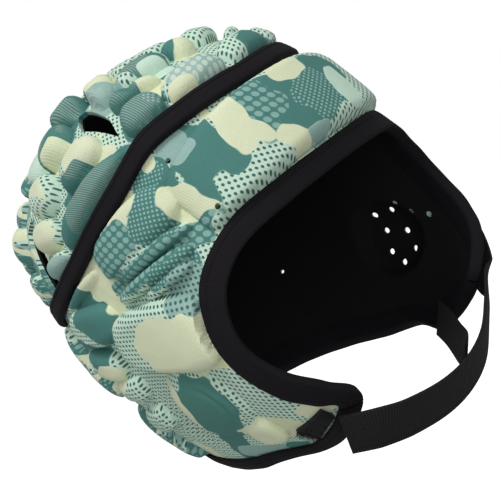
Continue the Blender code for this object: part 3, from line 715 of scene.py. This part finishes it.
def rimBinding(name, start, end):
    # from a row of the rim table to a later one on the left, and the same on the right
    b = bindingShape
    half = evenSteps(panelEdge, start, end, b["spacing"])
    if start == 0:
        steps = np.concatenate([-half[::-1], half[1:]])
    else:
        steps = np.concatenate([half, -half[-2::-1]])
    side = np.where(steps < 0, -1, 1)
    free, panel = curveAt(freeEdge, abs(steps)), curveAt(panelEdge, abs(steps))
    section = roundedSection([(out * b["acrossMm"], level) for out, level in b["section"]], b["rounding"])
    line = surface(side * free[:, 0], free[:, 1], 0)
    length = travelled(line) / mm
    ripple = rippleAlong(b, length)
    rings = []
    for out, level in section:
        place = panel + (free - panel) * out / b["acrossMm"]
        lift = level + (ripple if level > b["rippleAbove"] else 0)
        rings.append(surface(side * place[:, 0], place[:, 1], lift * mm))
    return strip(name, np.stack(rings, axis=1), False, length, travelled(section))


# Webbing strap: from its end outside the right flap in mm from the head centre, then its places on
# the left flap (az, el)
strapShape = {
    "width": 22, "thickness": 1.8, "lift": 6.2, "stations": 150,
    "hang": [
        (-69, -57.8, -100.2), (-60, -69.5, -107), (-45, -74, -113.3), (-22, -76, -118.7),
        (0, -76, -119.7), (21, -74.5, -116), (43.5, -69, -107.5), (62, -64.5, -98.5),
    ],
    "onLeft": [(49, -45), (56, -39), (60, -33)],
    "normalFrom": (0, -30, -75),
}
innerLayerShape = {
    "width": 20, "thickness": 1.8, "stations": 70,
    "hang": [(47.5, -36, -97), (38.5, -46, -103), (26.5, -57, -109.5), (14.5, -68, -113.5), (2, -73, -115.2)],
}


# Section of the webbing as shares of half its width and thickness
webbingSection = [(1, 0.8), (0.8, 1), (0.77, 0.55), (0.74, 1), (-0.5, 0.9), (-1, 0.85), (-1, -1), (1, -1)]


def webbing(name, shape, route):
    # flat woven strap along (place, normal) rows, with a fold line near its upper edge
    values = np.array([np.concatenate([place, normal]) for place, normal in route])
    t = np.linspace(0, len(route) - 1, shape["stations"] + 1)
    here = curveAt(values, t)
    along = np.gradient(here[:, :3], axis=0)
    along /= np.linalg.norm(along, axis=1, keepdims=True)
    normal = here[:, 3:] - along * np.sum(here[:, 3:] * along, axis=1, keepdims=True)
    normal /= np.linalg.norm(normal, axis=1, keepdims=True)
    across = np.cross(along, normal)
    w, h = shape["width"] / 2, shape["thickness"] / 2
    section = roundedSection([(a * w, b * h) for a, b in webbingSection], 0.5)
    rings = []
    for a, level in section:
        rings.append(here[:, :3] + across * a * mm + normal * level * mm)
    return strip(name, np.stack(rings, axis=1), False, travelled(here[:, :3]) / mm, travelled(section))


def hangRoute(points):
    centre = np.array(headForm["centre"])
    route = []
    for point in np.array(points, float) * mm:
        normal = point - np.array(strapShape["normalFrom"]) * mm
        route.append((centre + point, normal / np.linalg.norm(normal)))
    return route


def flapRoute(places):
    route = []
    for az, el in places:
        normal = surfaceNormal(np.array(az, float), np.array(el, float))
        route.append((surface(az, el, 0) + normal * (levels["web"] + strapShape["lift"] * mm), normal))
    return route


# Hook patch: corners (az, el) on the right flap and the fuzz of hooks that shows round it
patchShape = {
    "corners": [(-49, -45), (-61, -52), (-63.5, -46), (-50, -40.8)], "grid": 22,
    "inside": -5.2, "outside": -3.4, "rough": 0.25, "seed": 5,
    "hooks": 700, "atEdge": 0.5, "edgeSpread": 0.02, "hookRoot": 0.3, "hookLength": 1.6, "hookLean": 0.8,
    "hookRadius": 0.09, "hookTaper": 0.4, "hookSteps": 3,
}


def hookPatch():
    p = patchShape
    random.seed(p["seed"])
    n = p["grid"]
    a, b, c, d = (np.array(corner, float) for corner in p["corners"])
    shell = bmesh.new()
    layers = []
    for level in (p["outside"], p["inside"]):
        grid = []
        for i in range(n + 1):
            column = []
            for j in range(n + 1):
                u, v = i / n, j / n
                place = (1 - v) * ((1 - u) * a + u * b) + v * ((1 - u) * d + u * c)
                lift = level + (p["rough"] * random.uniform(-1, 1) if level == p["outside"] else 0)
                column.append(shell.verts.new(surface(place[0], place[1], lift * mm)))
            grid.append(column)
        layers.append(grid)
    for grid in layers:
        for i in range(n):
            for j in range(n):
                shell.faces.new((grid[i][j], grid[i + 1][j], grid[i + 1][j + 1], grid[i][j + 1]))
    rims = []
    for grid in layers:
        rim = [column[0] for column in grid] + grid[-1][1:]
        rims.append(rim + [column[-1] for column in grid[-2::-1]] + grid[0][-2:0:-1])
    for k in range(len(rims[0])):
        l = (k + 1) % len(rims[0])
        shell.faces.new((rims[0][k], rims[0][l], rims[1][l], rims[1][k]))
    bmesh.ops.recalc_face_normals(shell, faces=shell.faces)
    for _ in range(p["hooks"]):
        # a bent three-sided hair that starts in the patch
        u, v = random.random(), random.random()
        if random.random() < p["atEdge"]:
            u = random.choice((0, 1)) + p["edgeSpread"] * random.uniform(-1, 1)
        place = (1 - v) * ((1 - u) * a + u * b) + v * ((1 - u) * d + u * c)
        foot = Vector(surface(place[0], place[1], (p["outside"] - p["hookRoot"]) * mm))
        normal = Vector(surfaceNormal(place[0], place[1]))
        lean = Vector((random.uniform(-1, 1), random.uniform(-1, 1), random.uniform(-1, 1)))
        rings = []
        side = normal.cross(lean).normalized()
        other = normal.cross(side)
        for k in range(p["hookSteps"] + 1):
            t = k / p["hookSteps"]
            spot = foot + (normal * t + lean * p["hookLean"] * t * t) * p["hookLength"] * mm
            radius = p["hookRadius"] * mm * (1 - p["hookTaper"] * t)
            ring = []
            for turn in (0, 2 * math.pi / 3, 4 * math.pi / 3):
                out = side * math.cos(turn) + other * math.sin(turn)
                ring.append(shell.verts.new(spot + out * radius))
            rings.append(ring)
        for one, two in zip(rings, rings[1:]):
            for k in range(3):
                shell.faces.new((one[k], one[(k + 1) % 3], two[(k + 1) % 3], two[k]))
        shell.faces.new(rings[0][::-1])
        shell.faces.new(rings[-1])
    mesh = bpy.data.meshes.new("hookPatchFuzz")
    shell.to_mesh(mesh)
    shell.free()
    return newPiece("hookPatchFuzz", mesh, 50)


# Patches of print on the wearer's right and front in painting order: az, el (az below 0 is the
# right side), half length and half height in mm, tilt in degrees (above 0 rises with az), tone and
# dots. The ground is pale mint with dark dots. The rest of the cap has patches from noise.
wrapPatches = [
    (3, 19, 38, 17, 0, "teal", "none"),
    (-11, 21.5, 15, 13, -65, "teal", "ovals"),
    (7, 16, 16, 13, 10, "teal", "light"),
    (-4, 12.5, 11, 7, -45, "teal", "none"),
    (5.5, 27, 13, 9, -5, "cream", "none"),
    (18, 14.5, 12, 8, 80, "mint", "none"),
    (-31.5, 23.5, 18, 13, 90, "teal", "none"),
    (-27, 15.5, 9, 6, -50, "teal", "none"),
    (-36, 15.5, 10, 5, 90, "teal", "none"),
    (-35, 29.5, 12, 8, -80, "mid", "none"),
    (-20, 23, 17, 8, 85, "cream", "none"),
    (-16.5, 17, 8, 5, -50, "cream", "none"),
    (-9.5, 9.5, 10, 5, -50, "cream", "none"),
    (-1.5, 8, 7, 4, -12, "mid", "none"),
    (-43.5, 24.5, 14, 8, 90, "teal", "none"),
    (-45.5, 29.5, 9, 6, -45, "teal", "light"),
    (-51, 24.5, 12, 9, 65, "teal", "light"),
    (-53, 17, 14, 9, -38, "teal", "light"),
    (-44, 32, 4, 4, 0, "cream", "none"),
    (-42.5, 15, 15, 8, -60, "cream", "none"),
    (-59, 26, 13, 7, 35, "cream", "none"),
    (-71, 21, 19, 10, -4, "teal", "ovals"),
    (-88, 20.5, 15, 11, 8, "cream", "none"),
    (-62, 10.5, 39, 7, -8, "teal", "ovals"),
    (-57, 5.5, 16, 5, -3, "teal", "light"),
    (-53, 2, 12, 7, 45, "teal", "light"),
    (-57, -3, 17, 12, 56, "mid", "dark"),
    (-91, 12, 14, 11, -33, "cream", "none"),
    (-98, 10, 17, 11, -57, "teal", "none"),
    (-102, 20, 12, 8, -24, "teal", "none"),
    (-81, -1.5, 21, 9, 10, "mint", "dark"),
    (-69, -11.5, 28, 17, -24, "cream", "none"),
    (-111, 3, 11, 9, -63, "teal", "none"),
    (-113, -6, 11, 9, 0, "cream", "none"),
    (-82, -31, 24, 17, 48, "teal", "none"),
    (-92, -24.5, 14, 6, 75, "cream", "none"),
    (-65, -24.5, 9, 8, 0, "mint", "dark"),
    (-59, -32.5, 16, 14, -48, "mint", "dark"),
    (-70, -43.5, 18, 11, -12, "cream", "none"),
    (-50.5, -41, 10, 8, 0, "cream", "none"),
    (-95, -44, 14, 8, 60, "teal", "none"),
    (-90, -50.5, 17, 5, -25, "mid", "none"),
    (-73, -54, 6, 4, -17, "teal", "none"),
    (-120, -42, 12, 9, 90, "cream", "none"),
]
crownPatches = [
    (18, 39, 15, 10, 0, "teal", "none"),
    (-12, 40, 17, 12, -5, "mid", "ovals"),
    (-1, 54, 8, 7, 0, "cream", "none"),
    (-4, 58, 10, 6, 60, "teal", "none"),
    (-20, 57, 18, 10, -70, "teal", "none"),
    (-18, 52.5, 8, 6, -10, "mint", "none"),
    (-28, 49, 13, 8, -50, "cream", "none"),
    (-21, 38.5, 9, 6, -5, "cream", "none"),
    (-35, 41, 14, 12, -45, "teal", "none"),
    (-28.5, 41.5, 5, 5, 0, "teal", "light"),
    (-36.5, 50.5, 9, 7, -33, "teal", "none"),
    (-44, 59, 14, 11, -57, "mid", "none"),
    (-45, 72, 13, 11, 0, "cream", "none"),
    (-76, 71, 14, 12, 0, "teal", "none"),
    (-84, 62, 17, 12, 0, "teal", "none"),
    (-78, 56.5, 13, 6, 0, "cream", "none"),
    (-59, 46.5, 17, 9, -15, "cream", "none"),
    (-71, 42.5, 20, 6, -10, "teal", "none"),
    (-67, 36.5, 36, 9, 6, "teal", "none"),
    (-48, 45, 7, 4, -60, "mint", "dark"),
    (-101, 48, 16, 15, 0, "cream", "none"),
    (-104, 38, 14, 11, 0, "cream", "none"),
    (-94, 45, 5, 16, 60, "mint", "dark"),
    (-103, 30.5, 15, 8, -20, "mid", "none"),
    (-112, 62, 14, 11, 0, "mint", "none"),
    (-134, 44, 11, 11, 0, "teal", "none"),
]
printRules = {
    "tones": ("teal", "cream", "mid"), "dots": ("dark", "light", "ovals"),
    "depth": 9, "squareness": 2.4, "sameSide": 0.5, "wobble": 2.6, "wobbleScale": 13,
    "chartedFrom": -124, "chartedTo": 42, "chartedBlend": 8,
    "noiseScale": 9.5, "finer": 1.3, "finest": 1.7, "flatter": (1, 1, 1.5), "noiseReach": 60,
    "tealFrom": 0.02, "creamFrom": 0.12, "midFrom": 0.16, "lightFrom": 0.05, "ovalsBelow": -0.12,
}


def noiseAt(unit, scale, seed):
    shift = Vector((seed * 7.1, seed * 3.7, seed * 5.3))
    return np.array([noise.noise(Vector(u) * scale + shift) for u in unit])


def printFields(places, patches):
    # for each tone and kind of dots, about how many mm a point lies inside it (below 0 outside)
    r = printRules
    az, el = places[:, 0], places[:, 1]
    unit = directions(az, el)
    wobble = r["wobble"] * noiseAt(unit, r["wobbleScale"], 1)
    coarse, fine, finest = (
        noiseAt(unit * r["flatter"], r["noiseScale"] * k, 3 + k) for k in (1, r["finer"], r["finest"])
    )
    free = {"teal": coarse - r["tealFrom"]}
    free["cream"] = np.minimum(fine - r["creamFrom"], -free["teal"])
    free["dark"] = -np.maximum(free["teal"], free["cream"])
    free["mid"] = np.minimum(finest - r["midFrom"], free["dark"])
    free["light"] = np.minimum(free["teal"], finest - r["lightFrom"])
    free["ovals"] = np.minimum(free["teal"], r["ovalsBelow"] - finest)
    depth = r["depth"]
    charted = {name: np.full(len(az), -float(depth)) for name in r["tones"] + r["dots"]}
    charted["dark"] = -charted["dark"]
    for pAz, pEl, halfLength, halfHeight, tilt, tone, dots in patches:
        centre, longAxis, shortAxis, reach = tiltedAxes(pAz, pEl, tilt)
        u, v = (unit @ longAxis) * reach / halfLength, (unit @ shortAxis) * reach / halfHeight
        away = (abs(u) ** r["squareness"] + abs(v) ** r["squareness"]) ** (1 / r["squareness"])
        inside = (1 - away) * min(halfLength, halfHeight) + wobble
        inside = np.where(unit @ centre > r["sameSide"], np.maximum(inside, -depth), -depth)
        for name in charted:
            if name in (tone, dots):
                charted[name] = np.maximum(charted[name], inside)
            else:
                charted[name] = np.minimum(charted[name], -inside)
    seen = np.clip((az - r["chartedFrom"]) / r["chartedBlend"], 0, 1)
    seen *= np.clip((r["chartedTo"] - az) / r["chartedBlend"], 0, 1)
    fields = {}
    for name in charted:
        fromNoise = np.clip(free[name] * r["noiseReach"], -depth, depth)
        fields[name] = seen * charted[name] + (1 - seen) * fromNoise
    return fields


def dotPlaces(places, flat):
    # evenly spaced chart of the surface in mm, for the dots: Mercator or from above
    az, el = abs(places[:, 0]), np.clip(places[:, 1], -80, 89.9)
    if flat == "wrap":
        x, y = np.radians(az), np.log(np.tan(np.pi / 4 + np.radians(el) / 2))
    else:
        radius = 2 * np.tan((np.pi / 2 - np.radians(el)) / 2)
        x, y = radius * np.sin(np.radians(places[:, 0])), -radius * np.cos(np.radians(places[:, 0]))
    return np.stack([x * 100, y * 100, np.zeros(len(x))], axis=-1)


def printPanel(panel, places, patches, flat):
    fields = printFields(places, patches)
    setAttribute(panel, "tones", np.stack([fields[name] for name in printRules["tones"]], axis=-1))
    setAttribute(panel, "dots", np.stack([fields[name] for name in printRules["dots"]], axis=-1))
    setAttribute(panel, "place", dotPlaces(places, flat))


# Colours, linear
cloth = {
    "mint": (0.560, 0.745, 0.620), "teal": (0.074, 0.215, 0.190), "cream": (0.700, 0.750, 0.520),
    "mid": (0.290, 0.450, 0.410), "darkDot": (0.055, 0.140, 0.110), "lightDot": (0.290, 0.480, 0.440),
    "oval": (0.240, 0.430, 0.390), "ovalOnMid": (0.52, 0.68, 0.58), "stretched": (0.62, 0.62, 0.55),
    "black": (0.0065, 0.0055, 0.0075), "webbing": (0.014, 0.014, 0.0145), "lining": (0.0062, 0.0062, 0.0065),
}

# Print and knit: pitches in mm, dot sizes as a share of the pitch, turns in radians
printLook = {
    "darkDots": {"Pitch": 3.3, "Size": 0.2, "Stretch": 1.25, "Turn": 0.5},
    "lightDots": {"Pitch": 3.0, "Size": 0.2, "Stretch": 1.0, "Turn": 0.3},
    "ovals": {"Pitch": 5.4, "Size": 0.27, "Stretch": 1.35, "Turn": 0.9},
    "knit": {"Pitch": 1.15, "Turn": 0.35}, "ribTurn": 6.2832, "stitchTurn": 9.4, "stitchShare": 0.35,
    "streakPower": 2.0,
    "dotEdge": 0.04, "toneEdge": 0.22, "kindEdge": 0.1, "grainScale": 1.6, "grainDetail": 4, "grain": 0.3,
    "roughness": 0.7, "sheen": 0.02, "bump": 0.22, "bumpDepth": 0.25,
}

wovenLook = {"grainScale": 0.9, "grainDetail": 5, "times": 2.2, "more": 0.003, "bumpDepth": 0.4}
plainLook = {"grainDetail": 3, "times": 1.8, "more": 0.002, "bump": 0.3, "bumpDepth": 0.3}
common = {"Sheen Roughness": 0.4, "Specular IOR Level": 0.12}


def newMaterial(name, roughness, sheen=0.0):
    material = bpy.data.materials.new(name)
    material.use_nodes = True
    shader = material.node_tree.nodes["Principled BSDF"]
    values = {"Roughness": roughness, "Sheen Weight": sheen, **common}
    for socket, value in values.items():
        shader.inputs[socket].default_value = value
    return material, material.node_tree, shader


def mathNode(tree, operation, *values):
    node = tree.nodes.new("ShaderNodeMath")
    node.operation = operation
    for socket, value in zip(node.inputs, values):
        if isinstance(value, (int, float)):
            socket.default_value = value
        else:
            tree.links.new(value, socket)
    return node.outputs[0]


def mixColour(tree, factor, *colours):
    node = tree.nodes.new("ShaderNodeMix")
    node.data_type = "RGBA"
    tree.links.new(factor, node.inputs["Factor"])
    for socket, colour in zip([s for s in node.inputs if s.type == "RGBA"], colours):
        if isinstance(colour, tuple):
            socket.default_value = (*colour, 1)
        else:
            tree.links.new(colour, socket)
    return [s for s in node.outputs if s.type == "RGBA"][0]


def splitVector(tree, vector):
    node = tree.nodes.new("ShaderNodeSeparateXYZ")
    tree.links.new(vector, node.inputs[0])
    return node.outputs


def edgeMask(tree, value, softness):
    node = tree.nodes.new("ShaderNodeMapRange")
    node.inputs["From Min"].default_value = -softness
    node.inputs["From Max"].default_value = softness
    tree.links.new(value, node.inputs["Value"])
    return node.outputs[0]


def attributeNode(tree, name):
    node = tree.nodes.new("ShaderNodeAttribute")
    node.attribute_name = name
    return node.outputs["Vector"]


def grainNode(tree, vector, scale, detail):
    node = tree.nodes.new("ShaderNodeTexNoise")
    node.inputs["Scale"].default_value = scale
    node.inputs["Detail"].default_value = detail
    tree.links.new(vector, node.inputs["Vector"])
    return node.outputs["Fac"]


def addBump(tree, shader, height, strength, depth):
    node = tree.nodes.new("ShaderNodeBump")
    node.inputs["Strength"].default_value = strength
    node.inputs["Distance"].default_value = depth * mm
    tree.links.new(height, node.inputs["Height"])
    tree.links.new(node.outputs[0], shader.inputs["Normal"])


def newGroup(name, inputs, outputs):
    # node group from a Place in mm, turned by Turn and counted in Pitch as x and y
    tree = bpy.data.node_groups.new(name, "ShaderNodeTree")
    tree.interface.new_socket("Place", in_out="INPUT", socket_type="NodeSocketVector")
    for socket in ("Turn", "Pitch") + inputs:
        tree.interface.new_socket(socket, in_out="INPUT", socket_type="NodeSocketFloat")
    for socket in outputs:
        tree.interface.new_socket(socket, in_out="OUTPUT", socket_type="NodeSocketFloat")
    enter, leave = tree.nodes.new("NodeGroupInput"), tree.nodes.new("NodeGroupOutput")
    turn = tree.nodes.new("ShaderNodeVectorRotate")
    turn.rotation_type = "Z_AXIS"
    tree.links.new(enter.outputs["Place"], turn.inputs["Vector"])
    tree.links.new(enter.outputs["Turn"], turn.inputs["Angle"])
    turned = splitVector(tree, turn.outputs[0])
    x, y = (mathNode(tree, "DIVIDE", turned[k], enter.outputs["Pitch"]) for k in range(2))
    return tree, enter.outputs, leave.inputs, x, y


def placeGroup(tree, group, vector, **values):
    node = tree.nodes.new("ShaderNodeGroup")
    node.node_tree = group
    tree.links.new(vector, node.inputs["Place"])
    for name, value in values.items():
        node.inputs[name].default_value = value
    return node.outputs


def dotGroup():
    # dots on a staggered grid
    tree, enter, leave, x, y = newGroup("staggeredDots", ("Size", "Stretch"), ("Dot",))
    y = mathNode(tree, "DIVIDE", y, enter["Stretch"])
    distances = []
    for shift in (0, 0.5):
        squares = []
        for value in (x, y):
            part = mathNode(tree, "FRACT", mathNode(tree, "ADD", value, shift))
            part = mathNode(tree, "SUBTRACT", part, 0.5)
            squares.append(mathNode(tree, "MULTIPLY", part, part))
        distances.append(mathNode(tree, "SQRT", mathNode(tree, "ADD", *squares)))
    inside = mathNode(tree, "SUBTRACT", enter["Size"], mathNode(tree, "MINIMUM", *distances))
    tree.links.new(edgeMask(tree, inside, printLook["dotEdge"]), leave["Dot"])
    return tree


def knitGroup():
    # fine knit: a height for the bump and a light streak mask on stretched cloth
    tree, _, leave, x, y = newGroup("fineKnit", (), ("Height", "Streak"))
    look = printLook
    ribs = mathNode(tree, "SINE", mathNode(tree, "MULTIPLY", x, look["ribTurn"]))
    stitches = mathNode(tree, "SINE", mathNode(tree, "MULTIPLY", y, look["stitchTurn"]))
    tree.links.new(mathNode(tree, "MULTIPLY_ADD", stitches, look["stitchShare"], ribs), leave["Height"])
    streak = mathNode(tree, "MULTIPLY_ADD", ribs, 0.5, 0.5)
    tree.links.new(mathNode(tree, "POWER", streak, look["streakPower"]), leave["Streak"])
    return tree


def printedKnit(dots, knit):
    look = printLook
    material, tree, shader = newMaterial("printedKnit", look["roughness"], look["sheen"])
    place = attributeNode(tree, "place")
    tones = splitVector(tree, attributeNode(tree, "tones"))
    kinds = splitVector(tree, attributeNode(tree, "dots"))
    teal, cream, mid = (edgeMask(tree, tones[k], look["toneEdge"]) for k in range(3))
    colour = mixColour(tree, teal, cloth["mint"], cloth["teal"])
    colour = mixColour(tree, cream, colour, cloth["cream"])
    colour = mixColour(tree, mid, colour, cloth["mid"])
    ovalColour = mixColour(tree, mid, cloth["oval"], cloth["ovalOnMid"])
    dotColours = {"darkDots": cloth["darkDot"], "lightDots": cloth["lightDot"], "ovals": ovalColour}
    for kind, (shape, dotColour) in zip(kinds, dotColours.items()):
        area = edgeMask(tree, kind, look["kindEdge"])
        dot = placeGroup(tree, dots, place, **look[shape])["Dot"]
        colour = mixColour(tree, mathNode(tree, "MULTIPLY", area, dot), colour, dotColour)
    fine = placeGroup(tree, knit, place, **look["knit"])
    stretch = splitVector(tree, attributeNode(tree, "stretch"))[0]
    streak = mathNode(tree, "MULTIPLY", fine["Streak"], stretch)
    colour = mixColour(tree, streak, colour, cloth["stretched"])
    grain = grainNode(tree, place, look["grainScale"], look["grainDetail"])
    shade = mathNode(tree, "MULTIPLY_ADD", grain, look["grain"], 1 - look["grain"] / 2)
    tint = tree.nodes.new("ShaderNodeVectorMath")
    tint.operation = "SCALE"
    tree.links.new(colour, tint.inputs[0])
    tree.links.new(shade, tint.inputs["Scale"])
    tree.links.new(tint.outputs[0], shader.inputs["Base Color"])
    addBump(tree, shader, fine["Height"], look["bump"], look["bumpDepth"])
    return material


def lighter(colour, look):
    return tuple(c * look["times"] + look["more"] for c in colour)


def wovenBlack(name, knit, colour, pitch, strength, roughness):
    look = wovenLook
    material, tree, shader = newMaterial(name, roughness)
    place = attributeNode(tree, "place")
    weave = placeGroup(tree, knit, place, Turn=0.0, Pitch=pitch)
    grain = grainNode(tree, place, look["grainScale"], look["grainDetail"])
    threads = mathNode(tree, "MULTIPLY", weave["Streak"], grain)
    shade = mixColour(tree, threads, colour, lighter(colour, look))
    tree.links.new(shade, shader.inputs["Base Color"])
    addBump(tree, shader, weave["Height"], strength, look["bumpDepth"])
    return material


def plainBlack(name, colour, scale, roughness, sheen=0.0):
    # black cloth that reads Object coordinates
    look = plainLook
    material, tree, shader = newMaterial(name, roughness, sheen)
    place = tree.nodes.new("ShaderNodeTexCoord").outputs["Object"]
    grain = grainNode(tree, place, scale, look["grainDetail"])
    shade = mixColour(tree, grain, colour, lighter(colour, look))
    tree.links.new(shade, shader.inputs["Base Color"])
    addBump(tree, shader, grain, look["bump"], look["bumpDepth"])
    return material


def dress(piece, material, slot, *nodes):
    piece.data.materials.clear()
    piece.data.materials.append(material)
    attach(piece, "root")
    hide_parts(*nodes)


staggered, knit = dotGroup(), knitGroup()
printed = printedKnit(staggered, knit)
tapeCloth = wovenBlack("foldedTape", knit, cloth["black"], pitch=0.9, strength=0.2, roughness=0.8)
strapCloth = wovenBlack("strapWebbing", knit, cloth["webbing"], pitch=1.3, strength=0.7, roughness=0.7)
liningCloth = plainBlack("liningKnit", cloth["lining"], scale=900, roughness=0.85)
hookCloth = plainBlack("hookTape", cloth["webbing"], scale=1500, roughness=0.8, sheen=0.05)


def wrapHoles(step):
    # loops of a hole's own size, whatever the step
    kinds = ("mirrored", "leftEar")
    return [holeLoop(*place, airHoles[kind + "Radius"]) for kind in kinds for place in airHoles[kind]]


def crownHoles(step):
    return [fineLoop(flatCrown(*np.array(vent).T), step) for vent in crownVents]


wrap, wrapPlaces, wrapLining = buildPanels(
    "wrap", wrapOutline, wrapHoles, len(airHoles["leftEar"]), -panelMesh["padToTape"],
    wrapFrames, wrapFade, wrapLevel, flatWrap, roundWrap,
)
printPanel(wrap, wrapPlaces, wrapPatches, "wrap")
print("wrap panel", len(wrap.data.polygons))
crown, crownPlaces, crownLining = buildPanels(
    "crown", crownOutline, crownHoles, 0, panelMesh["padToTape"],
    crownFrames, crownFade, crownLevel, flatCrown, roundCrown,
)
printPanel(crown, crownPlaces, crownPatches, "crown")
print("crown panel", len(crown.data.polygons))

# Where a full pad stretches the knit, light streaks show on it
stretched = {
    "share": 0.45, "fromHeight": 3, "heightRamp": 5, "noiseScale": 6, "noiseSeed": 21, "noiseFrom": -0.05,
}


def crownStretch():
    unit = directions(*crownPlaces.T)
    full = ramp(padHeights(unit, crownFrames), stretched["fromHeight"], stretched["heightRamp"])
    spots = noiseAt(unit, stretched["noiseScale"], stretched["noiseSeed"]) > stretched["noiseFrom"]
    return np.stack([stretched["share"] * full * spots] * 3, axis=-1)


setAttribute(crown, "stretch", crownStretch())
setAttribute(wrap, "stretch", np.zeros((len(wrapPlaces), 3)))
dress(wrap, printed, "printed_knit", "wrap_panel")
dress(crown, printed, "printed_knit", "crown_panel")
dress(wrapLining, liningCloth, "black_lining", "wrap_lining")
dress(crownLining, liningCloth, "black_lining", "crown_lining")

dress(crownTape(), tapeCloth, "black_tape", "crown_tape")
faceBinding = rimBinding("faceBindingCloth", 0, flapTip - bindingShape["endGap"])
dress(faceBinding, tapeCloth, "black_tape", "face_binding")
neckBinding = rimBinding("neckBindingCloth", flapTip + bindingShape["endGap"], len(rimTable) - 1)
dress(neckBinding, tapeCloth, "black_tape", "neck_binding")
print("tape and bindings")

route = hangRoute(strapShape["hang"]) + flapRoute(strapShape["onLeft"])
dress(webbing("chinStrapWebbing", strapShape, route), strapCloth, "black_webbing", "chin_strap")
inner = webbing("strapInnerWebbing", innerLayerShape, hangRoute(innerLayerShape["hang"]))
dress(inner, strapCloth, "black_webbing", "strap_inner_layer")
dress(hookPatch(), hookCloth, "black_webbing", "hook_patch")
print("strap and patch")


# Floor, light and camera
studio = {
    "floorZ": -0.33, "floorSize": 6, "floorRoughness": 0.9,
    "floorSeen": 0.8, "floorForCloth": 0.5, "floorGlow": 0.75,
    "skyForCloth": 0.48, "keyPlace": (-0.55, -0.75, 1.2), "keySize": 0.5, "keyPower": 12,
    "fillPlace": (-0.9, -1.3, 0.1), "fillSize": 1.0, "fillPower": 5,
}
photoCamera = {
    "place": (-0.3866, -0.4711, -0.1306),
    "right": (0.60346, -0.47471, -0.6407), "up": (0.47568, -0.43057, 0.76704),
    "back": (-0.63998, -0.76764, -0.03402), "lens": 81.23, "sensor": 36, "nearest": 0.01,
}


def seenOrLighting(tree, seen, lighting):
    # one value where the camera looks and another where the light reaches the cap
    toCamera = tree.nodes.new("ShaderNodeLightPath").outputs["Is Camera Ray"]
    return mathNode(tree, "MULTIPLY_ADD", toCamera, seen - lighting, lighting)


def floorAndLight():
    s = studio
    bpy.ops.mesh.primitive_plane_add(size=s["floorSize"], location=(0, 0, s["floorZ"]))
    floor = bpy.context.object
    floor.name = "floor"
    material, tree, shader = newMaterial("paleFloor", s["floorRoughness"])
    grey = seenOrLighting(tree, s["floorSeen"], s["floorForCloth"])
    tree.links.new(grey, shader.inputs["Base Color"])
    shader.inputs["Emission Color"].default_value = (1, 1, 1, 1)
    tree.links.new(seenOrLighting(tree, s["floorGlow"], 0), shader.inputs["Emission Strength"])
    floor.data.materials.append(material)
    world = bpy.data.worlds.new("studio")
    bpy.context.scene.world = world
    world.use_nodes = True
    sky = world.node_tree.nodes["Background"]
    sky.inputs["Color"].default_value = (1, 1, 1, 1)
    strength = seenOrLighting(world.node_tree, 1, s["skyForCloth"])
    world.node_tree.links.new(strength, sky.inputs["Strength"])
    for name in ("key", "fill"):
        light = bpy.data.lights.new(name, "AREA")
        light.size, light.energy = s[name + "Size"], s[name + "Power"]
        lamp = bpy.data.objects.new(name, light)
        bpy.context.collection.objects.link(lamp)
        lamp.location = s[name + "Place"]
        lamp.rotation_euler = (headForm["centre"] - lamp.location).to_track_quat("-Z", "Y").to_euler()


def cameraAtPhoto():
    c = photoCamera
    camera = bpy.data.cameras.new("photoCamera")
    camera.lens, camera.sensor_width = c["lens"], c["sensor"]
    camera.clip_start = c["nearest"]
    holder = bpy.data.objects.new("photoCamera", camera)
    bpy.context.collection.objects.link(holder)
    axes = Matrix((c["right"], c["up"], c["back"])).transposed()
    holder.matrix_world = Matrix.Translation(c["place"]) @ axes.to_4x4()
    bpy.context.scene.camera = holder


floorAndLight()
cameraAtPhoto()
bpy.context.scene.view_settings.view_transform = "Standard"
